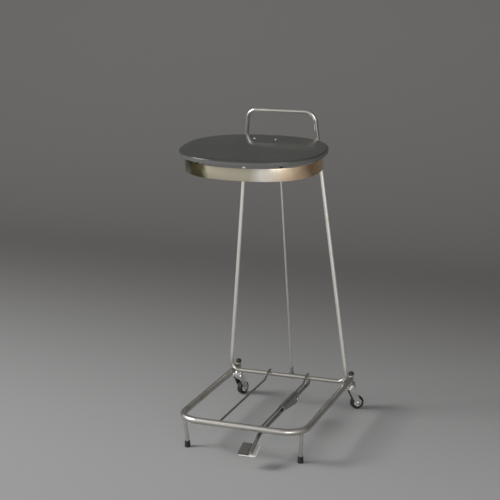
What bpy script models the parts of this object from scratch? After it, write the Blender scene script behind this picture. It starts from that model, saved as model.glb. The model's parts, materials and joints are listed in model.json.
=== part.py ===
"""Waste sack holder: a steel stand on two feet and two castors, with an oval hoop that holds a sack
open and a lid that a pedal lifts through a push rod.

Run with: blender --background --python part.py
Metres, +Z up. The pedal faces -Y, +X is to the right of someone standing at the pedal.
"""
import math

import bmesh
import bpy
import numpy as np
from mathutils import Vector

# General
GAP = 0.0003                     # space between pieces that touch
ROUND_STEPS = 16                 # sides of small turned pieces

# Base: front rail and side rails bent from one tube
RAIL_DIAMETER = 0.018
RAIL_HEIGHT = 0.0942             # axis above the floor
RAIL_HALF_WIDTH = 0.1775         # axis of a side rail from the middle
BASE_CORNER_RADIUS = 0.060
FRONT_RAIL_Y = -0.037            # the front feet stand on y = 0 before centring

# Front legs and their rubber ends
LEG_DIAMETER = 0.010
LEG_FOOT_X = 0.1624              # a foot from the middle
LEG_CORNER_ANGLE = 33            # degrees round the base corner, from the side rail to the leg's top
LEG_STRAIGHT = 0.022             # top of the upright stretch above the floor
LEG_BEND_RADIUS = 0.020
FERRULE_DIAMETER = 0.016
FERRULE_HEIGHT = 0.018
FERRULE_FLOOR = 0.004            # rubber under the leg

# Castors
CASTOR_Y = 0.437                 # swivel axis
SLEEVE_DIAMETER = 0.014
SLEEVE_HEIGHT = 0.022
STEM_DIAMETER = 0.010
FLANGE_DIAMETER = 0.026
FLANGE_THICKNESS = 0.003
CAP_DIAMETER = 0.017
CAP_HEIGHT = 0.011
WHEEL_DIAMETER = 0.040
TYRE_WIDTH = 0.017
TYRE_EDGE_RADIUS = 0.004
HUB_DIAMETER = 0.023
HUB_WIDTH = 0.020
AXLE_DIAMETER = 0.006
AXLE_HEAD_DIAMETER = 0.011
AXLE_HEAD_THICKNESS = 0.002
CASTOR_TRAIL = 0.020             # wheel axis behind the swivel axis
CASTOR_YAW_LEFT = 20             # degrees, the way the left castor is left standing
CASTOR_YAW_RIGHT = 50
FORK_SHEET = 0.002
FORK_INNER_WIDTH = 0.024
FORK_DOME_DIAMETER = 0.031
FORK_DOME_HEIGHT = 0.017
FORK_NECK_DIAMETER = 0.0084      # part of the stem that the fork turns on
FORK_RIVET_DIAMETER = 0.015
FORK_RIVET_THICKNESS = 0.003
FORK_CHEEK_DIAMETER = 0.020      # rounded top of a fork cheek, inside the dome
FORK_BOSS_DIAMETER = 0.015       # rounded end of a fork cheek, round the axle
FORK_CHEEK_DROP = 0.018          # centre of the cheek's rounded top below the dome's top

# Back frame: rear rail, uprights and handle bent from one rod
FRAME_DIAMETER = 0.012
TOTAL_HEIGHT = 0.900
REAR_RAIL_Y = 0.3815
REAR_RAIL_RISE = 0.0068          # rear rail axis above the side rails' axes
HANDLE_Y = 0.3011
HANDLE_HALF_WIDTH = 0.0961       # where the uprights' axes meet the handle bar's axis
FRAME_FOOT_RADIUS = 0.025
HANDLE_RADIUS = 0.028

# Rods that the sack stands on
SUPPORT_DIAMETER = 0.006
SUPPORT_X = 0.059
SUPPORT_CRANK_RUN = 0.034        # length over which a rod rises to lie on the rear rail
SUPPORT_BEND_RADIUS = 0.016
SUPPORT_OVERHANG = 0.003         # rod past the back of the rear rail

# Sack hoop, square to the leaning frame
HOOP_DROP = 0.098                # top edge below the handle's top, at the middle of the oval
HOOP_CENTRE_Y = 0.081
HOOP_SEMI_X = 0.182
HOOP_SEMI_Y = 0.133
HOOP_BAND_HEIGHT = 0.034
HOOP_BAND_THICKNESS = 0.002
OVAL_POWER = 2.4                 # 2 would be an ellipse
OVAL_POINTS = 64
ARM_DIAMETER = 0.010
ARM_DROP = 0.025                 # arm axis below the hoop's top edge

# Lid
LID_OVERHANG = 0.0135            # beyond the hoop all round
LID_LIFT = 0.021                 # top of the lid above the hoop's top edge
LID_THICKNESS = 0.003
LID_RIM_HEIGHT = 0.013
LID_EDGE_RADIUS = 0.004
LID_EDGE_STEPS = 3
BUFFER_DIAMETER = 0.013
BUFFER_TIP_DIAMETER = 0.009
BUFFER_ANGLE = 55                # degrees forward of the sides, round the hoop

# Lid hinge
HINGE_DROP = 0.012               # hinge axis below the hoop's top edge
HINGE_DIAMETER = 0.008
HINGE_OVERHANG = 0.004           # hinge rod past the uprights' axes
HINGE_PLAY = 0.00035
STRAP_X = 0.030
STRAP_WIDTH = 0.020
STRAP_THICKNESS = 0.003
STRAP_LENGTH = 0.070             # flat stretch of a strap and its slope, inside the lid's back edge
STRAP_SLOPE_RUN = 0.032
STRAP_CURL = 282                 # degrees round the hinge rod
RIVET_DIAMETER = 0.005
RIVET_HEAD_DIAMETER = 0.010
RIVET_HEAD_HEIGHT = 0.003
RIVET_INSET = 0.050              # from the lid's back edge
CRANK_X = 0.0125                 # middle of the crank plate
CRANK_THICKNESS = 0.004
CRANK_RADIUS = 0.0147
CRANK_REST_ANGLE = 30            # degrees below the lid's plane, on the front side of the hinge
CRANK_BOSS_RADIUS = 0.009
CRANK_WEB = 0.011                # depth of the plate under the lid
CRANK_SLOT_WIDTH = 0.0074
CRANK_SLOT_TRAVEL = 0.0034       # free travel of the pin's middle along the slot
CRANK_SLOT_SHIFT = 0.0005        # slot's middle nearer the hinge than the pin at rest

# Pedal lever, one bent rod under the right support rod
LEVER_DIAMETER = 0.010
LEVER_INSET = 0.003              # axis nearer the middle than the support rod's
PIVOT_Y = 0.265
PIVOT_DROP = 0.0182              # below the rails' axes
PIVOT_DIAMETER = 0.008
PIVOT_HEAD_DIAMETER = 0.014
PIVOT_HEAD_THICKNESS = 0.004
BOSS_DIAMETER = 0.018
BOSS_PLAY = 0.0005               # boss to bracket, each side
TAIL_Y = 0.418                   # cross pin at the lever's rear end
TAIL_RISE = 0.014                # cross pin above the pivot
TAIL_SLOPE_RUN = 0.020
TAIL_BEND_RADIUS = 0.012
LEVER_BEND_Y = -0.024            # where the lever bends down to the pedal
LEVER_BEND_RADIUS = 0.030
LEVER_TOE = 0.078                # lever's end along the slope, from the bend
PEDAL_SLOPE = 21                 # degrees, down towards the front
PEDAL_LEFT = 0.036               # plate edges from the lever's axis
PEDAL_RIGHT = 0.016
PEDAL_FRONT = 0.083              # plate edges along the slope, from the bend
PEDAL_BACK = 0.037
PEDAL_THICKNESS = 0.003
PEDAL_CORNER_RADIUS = 0.008
PAD_MARGIN = 0.0015
PAD_THICKNESS = 0.006
PAD_EDGE_RADIUS = 0.002

# Bracket that the lever turns in
BRACKET_WIDTH = 0.020
BRACKET_SHEET = 0.002
BRACKET_FRONT_Y = 0.150
BRACKET_NOSE_DEPTH = 0.011
BRACKET_REAR_RUN = 0.015         # behind the pivot
BRACKET_LIP = 0.010              # below the pivot

# Push rod
PUSH_DIAMETER = 0.006
PUSH_BEND_RADIUS = 0.007
PUSH_PIN_LENGTH = 0.018          # bent top end, from the rod's axis
PUSH_END_DIAMETER = 0.010
PUSH_END_LENGTH = 0.028          # from the eye's centre
PUSH_END_FLOOR = 0.014           # bottom of the bore that holds the rod, from the eye's centre
PUSH_EYE_WALL = 0.004
PUSH_EYE_WIDTH = 0.010
PIN_PLAY = 0.0004
LEVER_PIN_OVERHANG = 0.0045      # lever's cross pin past the eye
CLIP_WALL = 0.003
CLIP_THICKNESS = 0.0014

# Finishes: colour, roughness, metallic
STEEL = ((0.62, 0.61, 0.58), 0.28, 1.0)
POLISHED = ((0.72, 0.69, 0.62), 0.12, 1.0)
DARK_STEEL = ((0.10, 0.10, 0.095), 0.45, 0.6)
LID_GREY = ((0.045, 0.047, 0.045), 0.15, 0.0)
BLACK_RUBBER = ((0.015, 0.015, 0.016), 0.75, 0.0)
BLACK_PLASTIC = ((0.03, 0.03, 0.028), 0.4, 0.0)
PALE_PLASTIC = ((0.62, 0.62, 0.60), 0.4, 0.0)

# Places that follow from the sizes
SIDES = (("left", -1), ("right", 1))
RAIL_RADIUS = RAIL_DIAMETER / 2
FRAME_RADIUS = FRAME_DIAMETER / 2
REAR_RAIL_HEIGHT = RAIL_HEIGHT + REAR_RAIL_RISE
HOOP_HEIGHT = TOTAL_HEIGHT - HOOP_DROP
PIVOT_HEIGHT = RAIL_HEIGHT - PIVOT_DROP
HANDLE_HEIGHT = TOTAL_HEIGHT - FRAME_RADIUS
FRAME_LEAN = math.atan2(REAR_RAIL_Y - HANDLE_Y, HANDLE_HEIGHT - REAR_RAIL_HEIGHT)
FRAME_LENGTH = math.hypot(REAR_RAIL_Y - HANDLE_Y, HANDLE_HEIGHT - REAR_RAIL_HEIGHT)
UP_FRAME = Vector((0, -math.sin(FRAME_LEAN), math.cos(FRAME_LEAN)))
OFF_FRAME = Vector((0, math.cos(FRAME_LEAN), math.sin(FRAME_LEAN)))
REAR_RAIL = Vector((0, REAR_RAIL_Y, REAR_RAIL_HEIGHT))
HEAD = Vector((0, HOOP_CENTRE_Y, HOOP_HEIGHT))
FRAME_OFFSET = (REAR_RAIL - HEAD).dot(OFF_FRAME)          # frame's plane behind the hoop's middle
HEAD_UP_FRAME = (HEAD - REAR_RAIL).dot(UP_FRAME)          # hoop's top edge along the frame
HINGE_OFFSET = FRAME_OFFSET - FRAME_RADIUS - GAP - HINGE_DIAMETER / 2
LID_SEMI_X = HOOP_SEMI_X + LID_OVERHANG
LID_SEMI_Y = HOOP_SEMI_Y + LID_OVERHANG
LID_UNDERSIDE = LID_LIFT - LID_THICKNESS
LEVER_X = SUPPORT_X - LEVER_INSET
PIVOT = Vector((LEVER_X, PIVOT_Y, PIVOT_HEIGHT))
TAIL = Vector((0, TAIL_Y, PIVOT_HEIGHT + TAIL_RISE))
TURN_TO_SIDE = (math.pi / 2, 0, math.pi / 2)              # a flat outline's x, y, z become y, z, x
TURN_TO_X = (0, math.pi / 2, 0)                           # a turned piece's axis becomes x


def new_collection(name):
    """An empty collection in the scene."""
    collection = bpy.data.collections.new(name)
    bpy.context.scene.collection.children.link(collection)
    return collection


def new_empty(name, parent, location, rotation=(0, 0, 0)):
    """An empty that carries pieces, placed in its parent's frame."""
    empty = bpy.data.objects.new(name, None)
    empty.empty_display_size = 0.03
    empty.parent = parent
    empty.location = location
    empty.rotation_euler = rotation
    PARTS.objects.link(empty)
    return empty


def finish_material(name, finish):
    """A plain material of one colour, roughness and metallic value."""
    colour, roughness, metallic = finish
    material = bpy.data.materials.new(name)
    material.use_nodes = True
    shader = material.node_tree.nodes["Principled BSDF"]
    shader.inputs["Base Color"].default_value = (*colour, 1)
    shader.inputs["Roughness"].default_value = roughness
    shader.inputs["Metallic"].default_value = metallic
    return material


def place(obj, parent, location=(0, 0, 0), rotation=(0, 0, 0)):
    """Sets an object in its parent's frame."""
    obj.parent = parent
    obj.location = location
    obj.rotation_euler = rotation
    return obj


def welded_mesh(name, source):
    """The evaluated shape of a curve or of an object with modifiers, as one welded mesh."""
    bpy.context.scene.collection.objects.link(source)
    depsgraph = bpy.context.evaluated_depsgraph_get()
    mesh = bpy.data.meshes.new_from_object(source.evaluated_get(depsgraph), depsgraph=depsgraph)
    bpy.data.objects.remove(source)
    mesh.name = name
    mesh.materials.clear()
    cage = bmesh.new()
    cage.from_mesh(mesh)
    bmesh.ops.remove_doubles(cage, verts=cage.verts, dist=1e-6)
    bmesh.ops.recalc_face_normals(cage, faces=cage.faces)
    cage.to_mesh(mesh)
    cage.free()
    return mesh


def part(name, mesh, finish, parent, location=(0, 0, 0), rotation=(0, 0, 0)):
    """A named piece with its own material."""
    mesh.shade_smooth()
    mesh.set_sharp_from_angle(angle=math.radians(35))
    mesh.materials.append(finish_material(name + "_finish", finish))
    obj = bpy.data.objects.new(name, mesh)
    PARTS.objects.link(obj)
    return place(obj, parent, location, rotation)


def cutter(name, mesh, parent, location=(0, 0, 0), rotation=(0, 0, 0)):
    """A hidden solid that shapes a piece."""
    obj = bpy.data.objects.new(name, mesh)
    obj.hide_render = True
    obj.display_type = "WIRE"
    CUTTERS.objects.link(obj)
    return place(obj, parent, location, rotation)


def combine(obj, tool, operation="DIFFERENCE"):
    """Cuts a hidden solid out of a piece, or joins it on."""
    modifier = obj.modifiers.new(tool.name, "BOOLEAN")
    modifier.operation = operation
    modifier.solver = "EXACT"
    modifier.object = tool


def arc(centre, radius, start, end, step=12):
    """Points on a circle in a plane, from one angle to another, in degrees."""
    count = max(2, math.ceil(abs(end - start) / step))
    angles = np.radians(np.linspace(start, end, count + 1))
    return [(centre[0] + radius * math.cos(a), centre[1] + radius * math.sin(a)) for a in angles]


def rounded_path(corners, radii, closed=False, step=11):
    """A polyline through the corners, with each bend an arc of its radius."""
    corners = [Vector(corner) for corner in corners]
    count = len(corners)
    points = []
    for index, corner in enumerate(corners):
        if not closed and index in (0, count - 1):
            points.append(corner)
            continue
        before = (corner - corners[index - 1]).normalized()
        after = (corners[(index + 1) % count] - corner).normalized()
        turn = before.angle(after)
        radius = radii[index % len(radii)]
        inward = (after - before * before.dot(after)).normalized()
        start = corner - before * radius * math.tan(turn / 2)
        centre = start + inward * radius
        for angle in np.linspace(0, turn, max(2, math.ceil(math.degrees(turn) / step)) + 1):
            points.append(centre - inward * radius * math.cos(angle) + before * radius * math.sin(angle))
    return points


def tube_mesh(name, path, diameter, closed=False, sides=14):
    """A round bar along a path."""
    curve = bpy.data.curves.new(name, "CURVE")
    curve.dimensions = "3D"
    curve.bevel_depth = diameter / 2
    curve.bevel_resolution = (sides - 4) // 2
    curve.use_fill_caps = True
    spline = curve.splines.new("POLY")
    spline.points.add(len(path) - 1)
    spline.points.foreach_set("co", [value for point in path for value in (*point, 1)])
    spline.use_cyclic_u = closed
    return welded_mesh(name, bpy.data.objects.new(name, curve))


def plate_mesh(name, outlines, thickness):
    """A flat plate from closed outlines, the first outside and any others holes."""
    curve = bpy.data.curves.new(name, "CURVE")
    curve.dimensions = "2D"
    curve.fill_mode = "BOTH"
    curve.extrude = thickness / 2
    for outline in outlines:
        spline = curve.splines.new("POLY")
        spline.points.add(len(outline) - 1)
        spline.points.foreach_set("co", [value for x, y in outline for value in (x, y, 0, 1)])
        spline.use_cyclic_u = True
    return welded_mesh(name, bpy.data.objects.new(name, curve))


def turned_mesh(name, profile, closed=False, steps=ROUND_STEPS):
    """A profile of radius and height turned round z; its outer side runs from top to bottom."""
    mesh = bpy.data.meshes.new(name)
    count = len(profile)
    edges = [(index, (index + 1) % count) for index in range(count if closed else count - 1)]
    mesh.from_pydata([(radius, 0, height) for radius, height in profile], edges, [])
    obj = bpy.data.objects.new(name, mesh)
    screw = obj.modifiers.new("turn", "SCREW")
    screw.steps = screw.render_steps = steps
    screw.use_merge_vertices = True
    screw.merge_threshold = 1e-6
    return welded_mesh(name, obj)


def rod_mesh(name, diameter, low, high):
    """A plain round rod along z."""
    radius = diameter / 2
    return turned_mesh(name, [(0, high), (radius, high), (radius, low), (0, low)])


def ring_mesh(name, inner, outer, width):
    """A plain ring round z, centred on its middle."""
    half = width / 2
    return turned_mesh(name, [(outer, half), (outer, -half), (inner, -half), (inner, half)], closed=True)


def box_mesh(name, low, high):
    """A box between two corners."""
    mesh = bpy.data.meshes.new(name)
    cage = bmesh.new()
    bmesh.ops.create_cube(cage, size=1)
    low = Vector(low)
    high = Vector(high)
    for vertex in cage.verts:
        vertex.co = (low + high) / 2 + vertex.co * (high - low)
    cage.to_mesh(mesh)
    cage.free()
    return mesh


def oval(semi_x, semi_y):
    """Points of the superellipse shared by the hoop and the lid, anticlockwise from above."""
    angles = np.linspace(0, 2 * math.pi, OVAL_POINTS, endpoint=False)
    across = np.cos(angles)
    along = np.sin(angles)
    power = 2 / OVAL_POWER
    x = semi_x * np.sign(across) * np.abs(across) ** power
    y = semi_y * np.sign(along) * np.abs(along) ** power
    return x, y


def oval_loft_mesh(name, rings, capped=False):
    """A loft through oval rings of (semi_x, semi_y, height), in order up the outer side.

    A capped loft has a flat face on its first and last ring, else the last ring joins the first.
    """
    points = []
    for semi_x, semi_y, height in rings:
        points += [(x, y, height) for x, y in zip(*oval(semi_x, semi_y))]
    faces = []
    for ring in range(len(rings) - 1 if capped else len(rings)):
        first = ring * OVAL_POINTS
        second = (ring + 1) % len(rings) * OVAL_POINTS
        for index in range(OVAL_POINTS):
            after = (index + 1) % OVAL_POINTS
            faces.append((first + index, first + after, second + after, second + index))
    if capped:
        faces.append(tuple(reversed(range(OVAL_POINTS))))
        faces.append(tuple(range(len(points) - OVAL_POINTS, len(points))))
    mesh = bpy.data.meshes.new(name)
    mesh.from_pydata(points, [], faces)
    return mesh


def strip_outline(path, thickness):
    """The outline of a bent strip: its middle line moved half a thickness to each side."""
    line = np.array(path)
    along = np.diff(line, axis=0)
    along /= np.linalg.norm(along, axis=1)[:, None]
    normals = np.stack([-along[:, 1], along[:, 0]], axis=1)
    mitre = np.concatenate([normals[:1], normals[:-1] + normals[1:], normals[-1:]])
    first = np.concatenate([normals[:1], normals[1:], normals[-1:]])
    mitre /= np.sum(mitre * first, axis=1)[:, None]
    near = line + mitre * thickness / 2
    far = line - mitre * thickness / 2
    return [tuple(point) for point in np.concatenate([near, far[::-1]])]


def link_outline(first, first_radius, second, second_radius):
    """The outline of two discs and the straight edges that touch both."""
    across = Vector(second) - Vector(first)
    heading = math.degrees(math.atan2(across.y, across.x))
    spread = math.degrees(math.acos((first_radius - second_radius) / across.length))
    return (arc(first, first_radius, heading + spread, heading - spread + 360)
            + arc(second, second_radius, heading - spread, heading + spread))


def base_path():
    """Middle line of the base tube, from the left castor round the front to the right one."""
    end = CASTOR_Y - SLEEVE_DIAMETER / 4
    corners = [(x, y, RAIL_HEIGHT) for x, y in ((-RAIL_HALF_WIDTH, end), (-RAIL_HALF_WIDTH, FRONT_RAIL_Y),
                                                (RAIL_HALF_WIDTH, FRONT_RAIL_Y), (RAIL_HALF_WIDTH, end))]
    return rounded_path(corners, [BASE_CORNER_RADIUS], step=10)


def make_base(root):
    """The base tube, with its ends hollowed to fit the castor sleeves."""
    tube = part("base_tube", tube_mesh("base_tube", base_path(), RAIL_DIAMETER, sides=16), STEEL, root)
    hollow = rod_mesh("sleeve_seat", SLEEVE_DIAMETER + 2 * GAP, -RAIL_DIAMETER, RAIL_DIAMETER)
    for side, sign in SIDES:
        seat = (sign * RAIL_HALF_WIDTH, CASTOR_Y, RAIL_HEIGHT)
        combine(tube, cutter("sleeve_seat_" + side, hollow.copy(), root, seat))


def make_front_legs(root, rail_seat):
    """Rods from the front corners that lean in to upright feet, each in a rubber ferrule."""
    angle = math.radians(LEG_CORNER_ANGLE)
    top_x = RAIL_HALF_WIDTH - BASE_CORNER_RADIUS * (1 - math.cos(angle))
    top_y = FRONT_RAIL_Y + BASE_CORNER_RADIUS * (1 - math.sin(angle))
    outer = FERRULE_DIAMETER / 2
    inner = LEG_DIAMETER / 2 + GAP
    flare = outer - (outer - inner) / 3
    ferrule = [(0, FERRULE_FLOOR - GAP), (inner, FERRULE_FLOOR - GAP), (inner, FERRULE_HEIGHT),
               (flare, FERRULE_HEIGHT), (outer, FERRULE_FLOOR), (outer, 0), (0, 0)]
    for side, sign in SIDES:
        foot_x = sign * LEG_FOOT_X
        corners = [(foot_x, 0, FERRULE_FLOOR), (foot_x, 0, LEG_STRAIGHT), (sign * top_x, top_y, RAIL_HEIGHT)]
        name = "front_leg_" + side
        path = rounded_path(corners, [LEG_BEND_RADIUS])
        leg = part(name, tube_mesh(name, path, LEG_DIAMETER), STEEL, root)
        combine(leg, rail_seat)
        part("foot_ferrule_" + side, turned_mesh("ferrule", ferrule), BLACK_RUBBER, root, (foot_x, 0, 0))


def make_support_rods(root, rail_seat):
    """Two rods from the front rail, cranked up at the back to lie on the rear rail."""
    top = REAR_RAIL_HEIGHT + FRAME_RADIUS + GAP + SUPPORT_DIAMETER / 2
    rise_end = REAR_RAIL_Y - FRAME_RADIUS
    end = REAR_RAIL_Y + FRAME_RADIUS + SUPPORT_OVERHANG
    for side, sign in SIDES:
        x = sign * SUPPORT_X
        corners = [(x, FRONT_RAIL_Y, RAIL_HEIGHT), (x, rise_end - SUPPORT_CRANK_RUN, RAIL_HEIGHT),
                   (x, rise_end, top), (x, end, top)]
        path = rounded_path(corners, [SUPPORT_BEND_RADIUS])
        name = "support_rod_" + side
        rod = part(name, tube_mesh(name, path, SUPPORT_DIAMETER, sides=10), STEEL, root)
        combine(rod, rail_seat)


def frame_point(x, up):
    """A point in the back frame's plane: across, and up from the rear rail's axis."""
    return REAR_RAIL + UP_FRAME * up + Vector((x, 0, 0))


def frame_foot_half_width():
    """Where an upright's axis meets the rear rail's: its lower bend leans on the side rail."""
    reach = FRAME_FOOT_RADIUS + FRAME_RADIUS + RAIL_RADIUS + GAP
    rise = REAR_RAIL_RISE + FRAME_FOOT_RADIUS * math.cos(FRAME_LEAN)
    bend_x = RAIL_HALF_WIDTH - math.sqrt(reach ** 2 - rise ** 2)
    drop = FRAME_LENGTH - FRAME_FOOT_RADIUS
    across = bend_x - HANDLE_HALF_WIDTH
    slope = math.atan2(across, drop) + math.asin(FRAME_FOOT_RADIUS / math.hypot(across, drop))
    return HANDLE_HALF_WIDTH + FRAME_LENGTH * math.tan(slope)


def upright_x(up):
    """Half the distance between the uprights' axes at a height along the frame."""
    foot = frame_foot_half_width()
    return foot + (HANDLE_HALF_WIDTH - foot) * up / FRAME_LENGTH


def make_back_frame(root):
    """The closed loop of rear rail, uprights and handle."""
    foot = frame_foot_half_width()
    corners = [frame_point(-foot, 0), frame_point(foot, 0),
               frame_point(HANDLE_HALF_WIDTH, FRAME_LENGTH), frame_point(-HANDLE_HALF_WIDTH, FRAME_LENGTH)]
    radii = [FRAME_FOOT_RADIUS, FRAME_FOOT_RADIUS, HANDLE_RADIUS, HANDLE_RADIUS]
    path = rounded_path(corners, radii, closed=True)
    part("back_frame", tube_mesh("back_frame", path, FRAME_DIAMETER, closed=True), STEEL, root)


def make_sack_hoop(head):
    """The polished oval band and the two arms that carry it from the uprights."""
    thin = HOOP_BAND_THICKNESS
    outer = (HOOP_SEMI_X, HOOP_SEMI_Y)
    inner = (HOOP_SEMI_X - thin, HOOP_SEMI_Y - thin)
    rings = [(*outer, -HOOP_BAND_HEIGHT), (*outer, 0), (*inner, 0), (*inner, -HOOP_BAND_HEIGHT)]
    part("sack_hoop", oval_loft_mesh("sack_hoop", rings), POLISHED, head)
    arm_x = upright_x(HEAD_UP_FRAME - ARM_DROP)
    inside = rod_mesh("hoop_arm", ARM_DIAMETER, 0, FRAME_OFFSET - FRAME_RADIUS - GAP)
    wide = (HOOP_SEMI_X + GAP, HOOP_SEMI_Y + GAP)
    block = oval_loft_mesh("hoop_seat", [(*wide, -2 * HOOP_BAND_HEIGHT), (*wide, HOOP_BAND_HEIGHT)], True)
    seat = cutter("hoop_seat", block, head)
    for side, sign in SIDES:
        arm = part("hoop_arm_" + side, inside.copy(), STEEL, head,
                   (sign * arm_x, 0, -ARM_DROP), (-math.pi / 2, 0, 0))
        combine(arm, seat)


def make_hinge_rod(head):
    """The rod across the fronts of the uprights, on which the lid turns."""
    half = upright_x(HEAD_UP_FRAME - HINGE_DROP) + HINGE_OVERHANG
    part("hinge_rod", rod_mesh("hinge_rod", HINGE_DIAMETER, -half, half), STEEL, head,
         (0, HINGE_OFFSET, -HINGE_DROP), TURN_TO_X)


def make_lid(lid_axis, rivet_holes):
    """The flat oval lid with a rounded edge and a turned-down rim."""
    rings = []
    inner_x = LID_SEMI_X - LID_THICKNESS
    inner_y = LID_SEMI_Y - LID_THICKNESS
    rings.append((inner_x, inner_y, -LID_THICKNESS))
    rings.append((inner_x, inner_y, -LID_RIM_HEIGHT))
    rings.append((LID_SEMI_X, LID_SEMI_Y, -LID_RIM_HEIGHT))
    for angle in np.linspace(0, math.pi / 2, LID_EDGE_STEPS + 1):
        inset = LID_EDGE_RADIUS * (1 - math.cos(angle))
        height = LID_EDGE_RADIUS * (math.sin(angle) - 1)
        rings.append((LID_SEMI_X - inset, LID_SEMI_Y - inset, height))
    lid = part("lid", oval_loft_mesh("lid", rings, True), LID_GREY, lid_axis,
               (0, -HINGE_OFFSET, HINGE_DROP + LID_LIFT))
    for hole in rivet_holes:
        combine(lid, hole)


def make_lid_buffers(lid_axis):
    """Rubber buffers under the lid that rest on the hoop's top edge."""
    angle = math.radians(BUFFER_ANGLE)
    power = 2 / OVAL_POWER
    x = (HOOP_SEMI_X - HOOP_BAND_THICKNESS / 2) * math.cos(angle) ** power
    y = (HOOP_SEMI_Y - HOOP_BAND_THICKNESS / 2) * math.sin(angle) ** power
    top = LID_UNDERSIDE - GAP
    tip = BUFFER_TIP_DIAMETER / 2
    profile = [(0, top), (BUFFER_DIAMETER / 2, top), (tip, GAP), (0, GAP)]
    for side, sign in SIDES:
        part("lid_buffer_" + side, turned_mesh("lid_buffer", profile), BLACK_RUBBER, lid_axis,
             (sign * x, -y - HINGE_OFFSET, HINGE_DROP))


def strap_path():
    """Side view of a strap round the hinge axis: flat under the lid, under its rim, curled at the end."""
    back = LID_SEMI_Y - HINGE_OFFSET
    flat = HINGE_DROP + LID_UNDERSIDE - GAP - STRAP_THICKNESS / 2
    under_rim = HINGE_DROP + LID_LIFT - LID_RIM_HEIGHT - GAP - STRAP_THICKNESS
    curl_radius = HINGE_DIAMETER / 2 + HINGE_PLAY + STRAP_THICKNESS / 2
    knee = Vector((back, under_rim))
    slope = math.atan2(-knee.y, -knee.x) + math.asin(curl_radius / knee.length)
    touch = math.degrees(slope) + 90
    return ([(back - STRAP_LENGTH, flat), (back - STRAP_SLOPE_RUN, flat), tuple(knee)]
            + arc((0, 0), curl_radius, touch, touch - STRAP_CURL, 15))


def make_lid_straps(lid_axis, rivet_holes):
    """Flat straps riveted under the lid and curled round the hinge rod."""
    outline = strip_outline(strap_path(), STRAP_THICKNESS)
    for (side, sign), hole in zip(SIDES, rivet_holes):
        name = "lid_strap_" + side
        strap = part(name, plate_mesh(name, [outline], STRAP_WIDTH), STEEL, lid_axis,
                     (sign * STRAP_X, 0, 0), TURN_TO_SIDE)
        combine(strap, hole)


def make_lid_rivets(lid_axis):
    """Domed rivets through the lid and the straps; gives the cutters of their holes."""
    holes = []
    shank = RIVET_DIAMETER / 2
    head = RIVET_HEAD_DIAMETER / 2
    tail = -LID_THICKNESS - STRAP_THICKNESS - 2 * GAP
    profile = [(0, RIVET_HEAD_HEIGHT), (head * 0.6, RIVET_HEAD_HEIGHT * 0.8), (head, GAP), (shank, GAP),
               (shank, tail), (head * 0.8, tail), (head * 0.5, tail - RIVET_HEAD_HEIGHT / 2),
               (0, tail - RIVET_HEAD_HEIGHT / 2)]
    for side, sign in SIDES:
        spot = (sign * STRAP_X, LID_SEMI_Y - RIVET_INSET - HINGE_OFFSET, HINGE_DROP + LID_LIFT)
        part("lid_rivet_" + side, turned_mesh("lid_rivet", profile), STEEL, lid_axis, spot)
        hole = rod_mesh("rivet_hole", RIVET_DIAMETER + 2 * GAP, 2 * tail, -tail)
        holes.append(cutter("rivet_hole_" + side, hole, lid_axis, spot))
    return holes


def crank_pin():
    """The push rod's top pin at rest, from the hinge axis, in the lid's own side view."""
    angle = math.radians(CRANK_REST_ANGLE)
    return -CRANK_RADIUS * math.cos(angle), -CRANK_RADIUS * math.sin(angle)


def make_lid_crank(lid_axis):
    """The plate under the lid that the push rod lifts, with a slot for the rod's pin."""
    back = LID_SEMI_Y - HINGE_OFFSET
    top = HINGE_DROP + LID_UNDERSIDE - GAP
    under_rim = HINGE_DROP + LID_LIFT - LID_RIM_HEIGHT - 2 * GAP
    clear_hoop = HINGE_DROP + 5 * GAP
    heading = 180 + CRANK_REST_ANGLE
    pin = np.array(crank_pin())
    outward = pin / CRANK_RADIUS
    middle = pin - outward * CRANK_SLOT_SHIFT
    outline = [(back - STRAP_LENGTH, top), (back - STRAP_SLOPE_RUN, top), (back - LID_THICKNESS, under_rim),
               (back, under_rim)]
    outline += arc((0, 0), CRANK_BOSS_RADIUS, 80, heading + 90 - 360)
    outline += arc(middle, CRANK_BOSS_RADIUS, heading + 90 - 360, heading - 50 - 360)
    outline += [(back, clear_hoop), (back - STRAP_LENGTH, top - CRANK_WEB)]
    eye = arc((0, 0), HINGE_DIAMETER / 2 + HINGE_PLAY, 0, 345, 15)
    half_width = CRANK_SLOT_WIDTH / 2
    slot = (arc(middle + outward * CRANK_SLOT_TRAVEL / 2, half_width, heading - 90, heading + 90, 15)
            + arc(middle - outward * CRANK_SLOT_TRAVEL / 2, half_width, heading + 90, heading + 270, 15))
    part("lid_crank", plate_mesh("lid_crank", [outline, eye, slot], CRANK_THICKNESS), STEEL, lid_axis,
         (CRANK_X, 0, 0), TURN_TO_SIDE)


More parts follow.
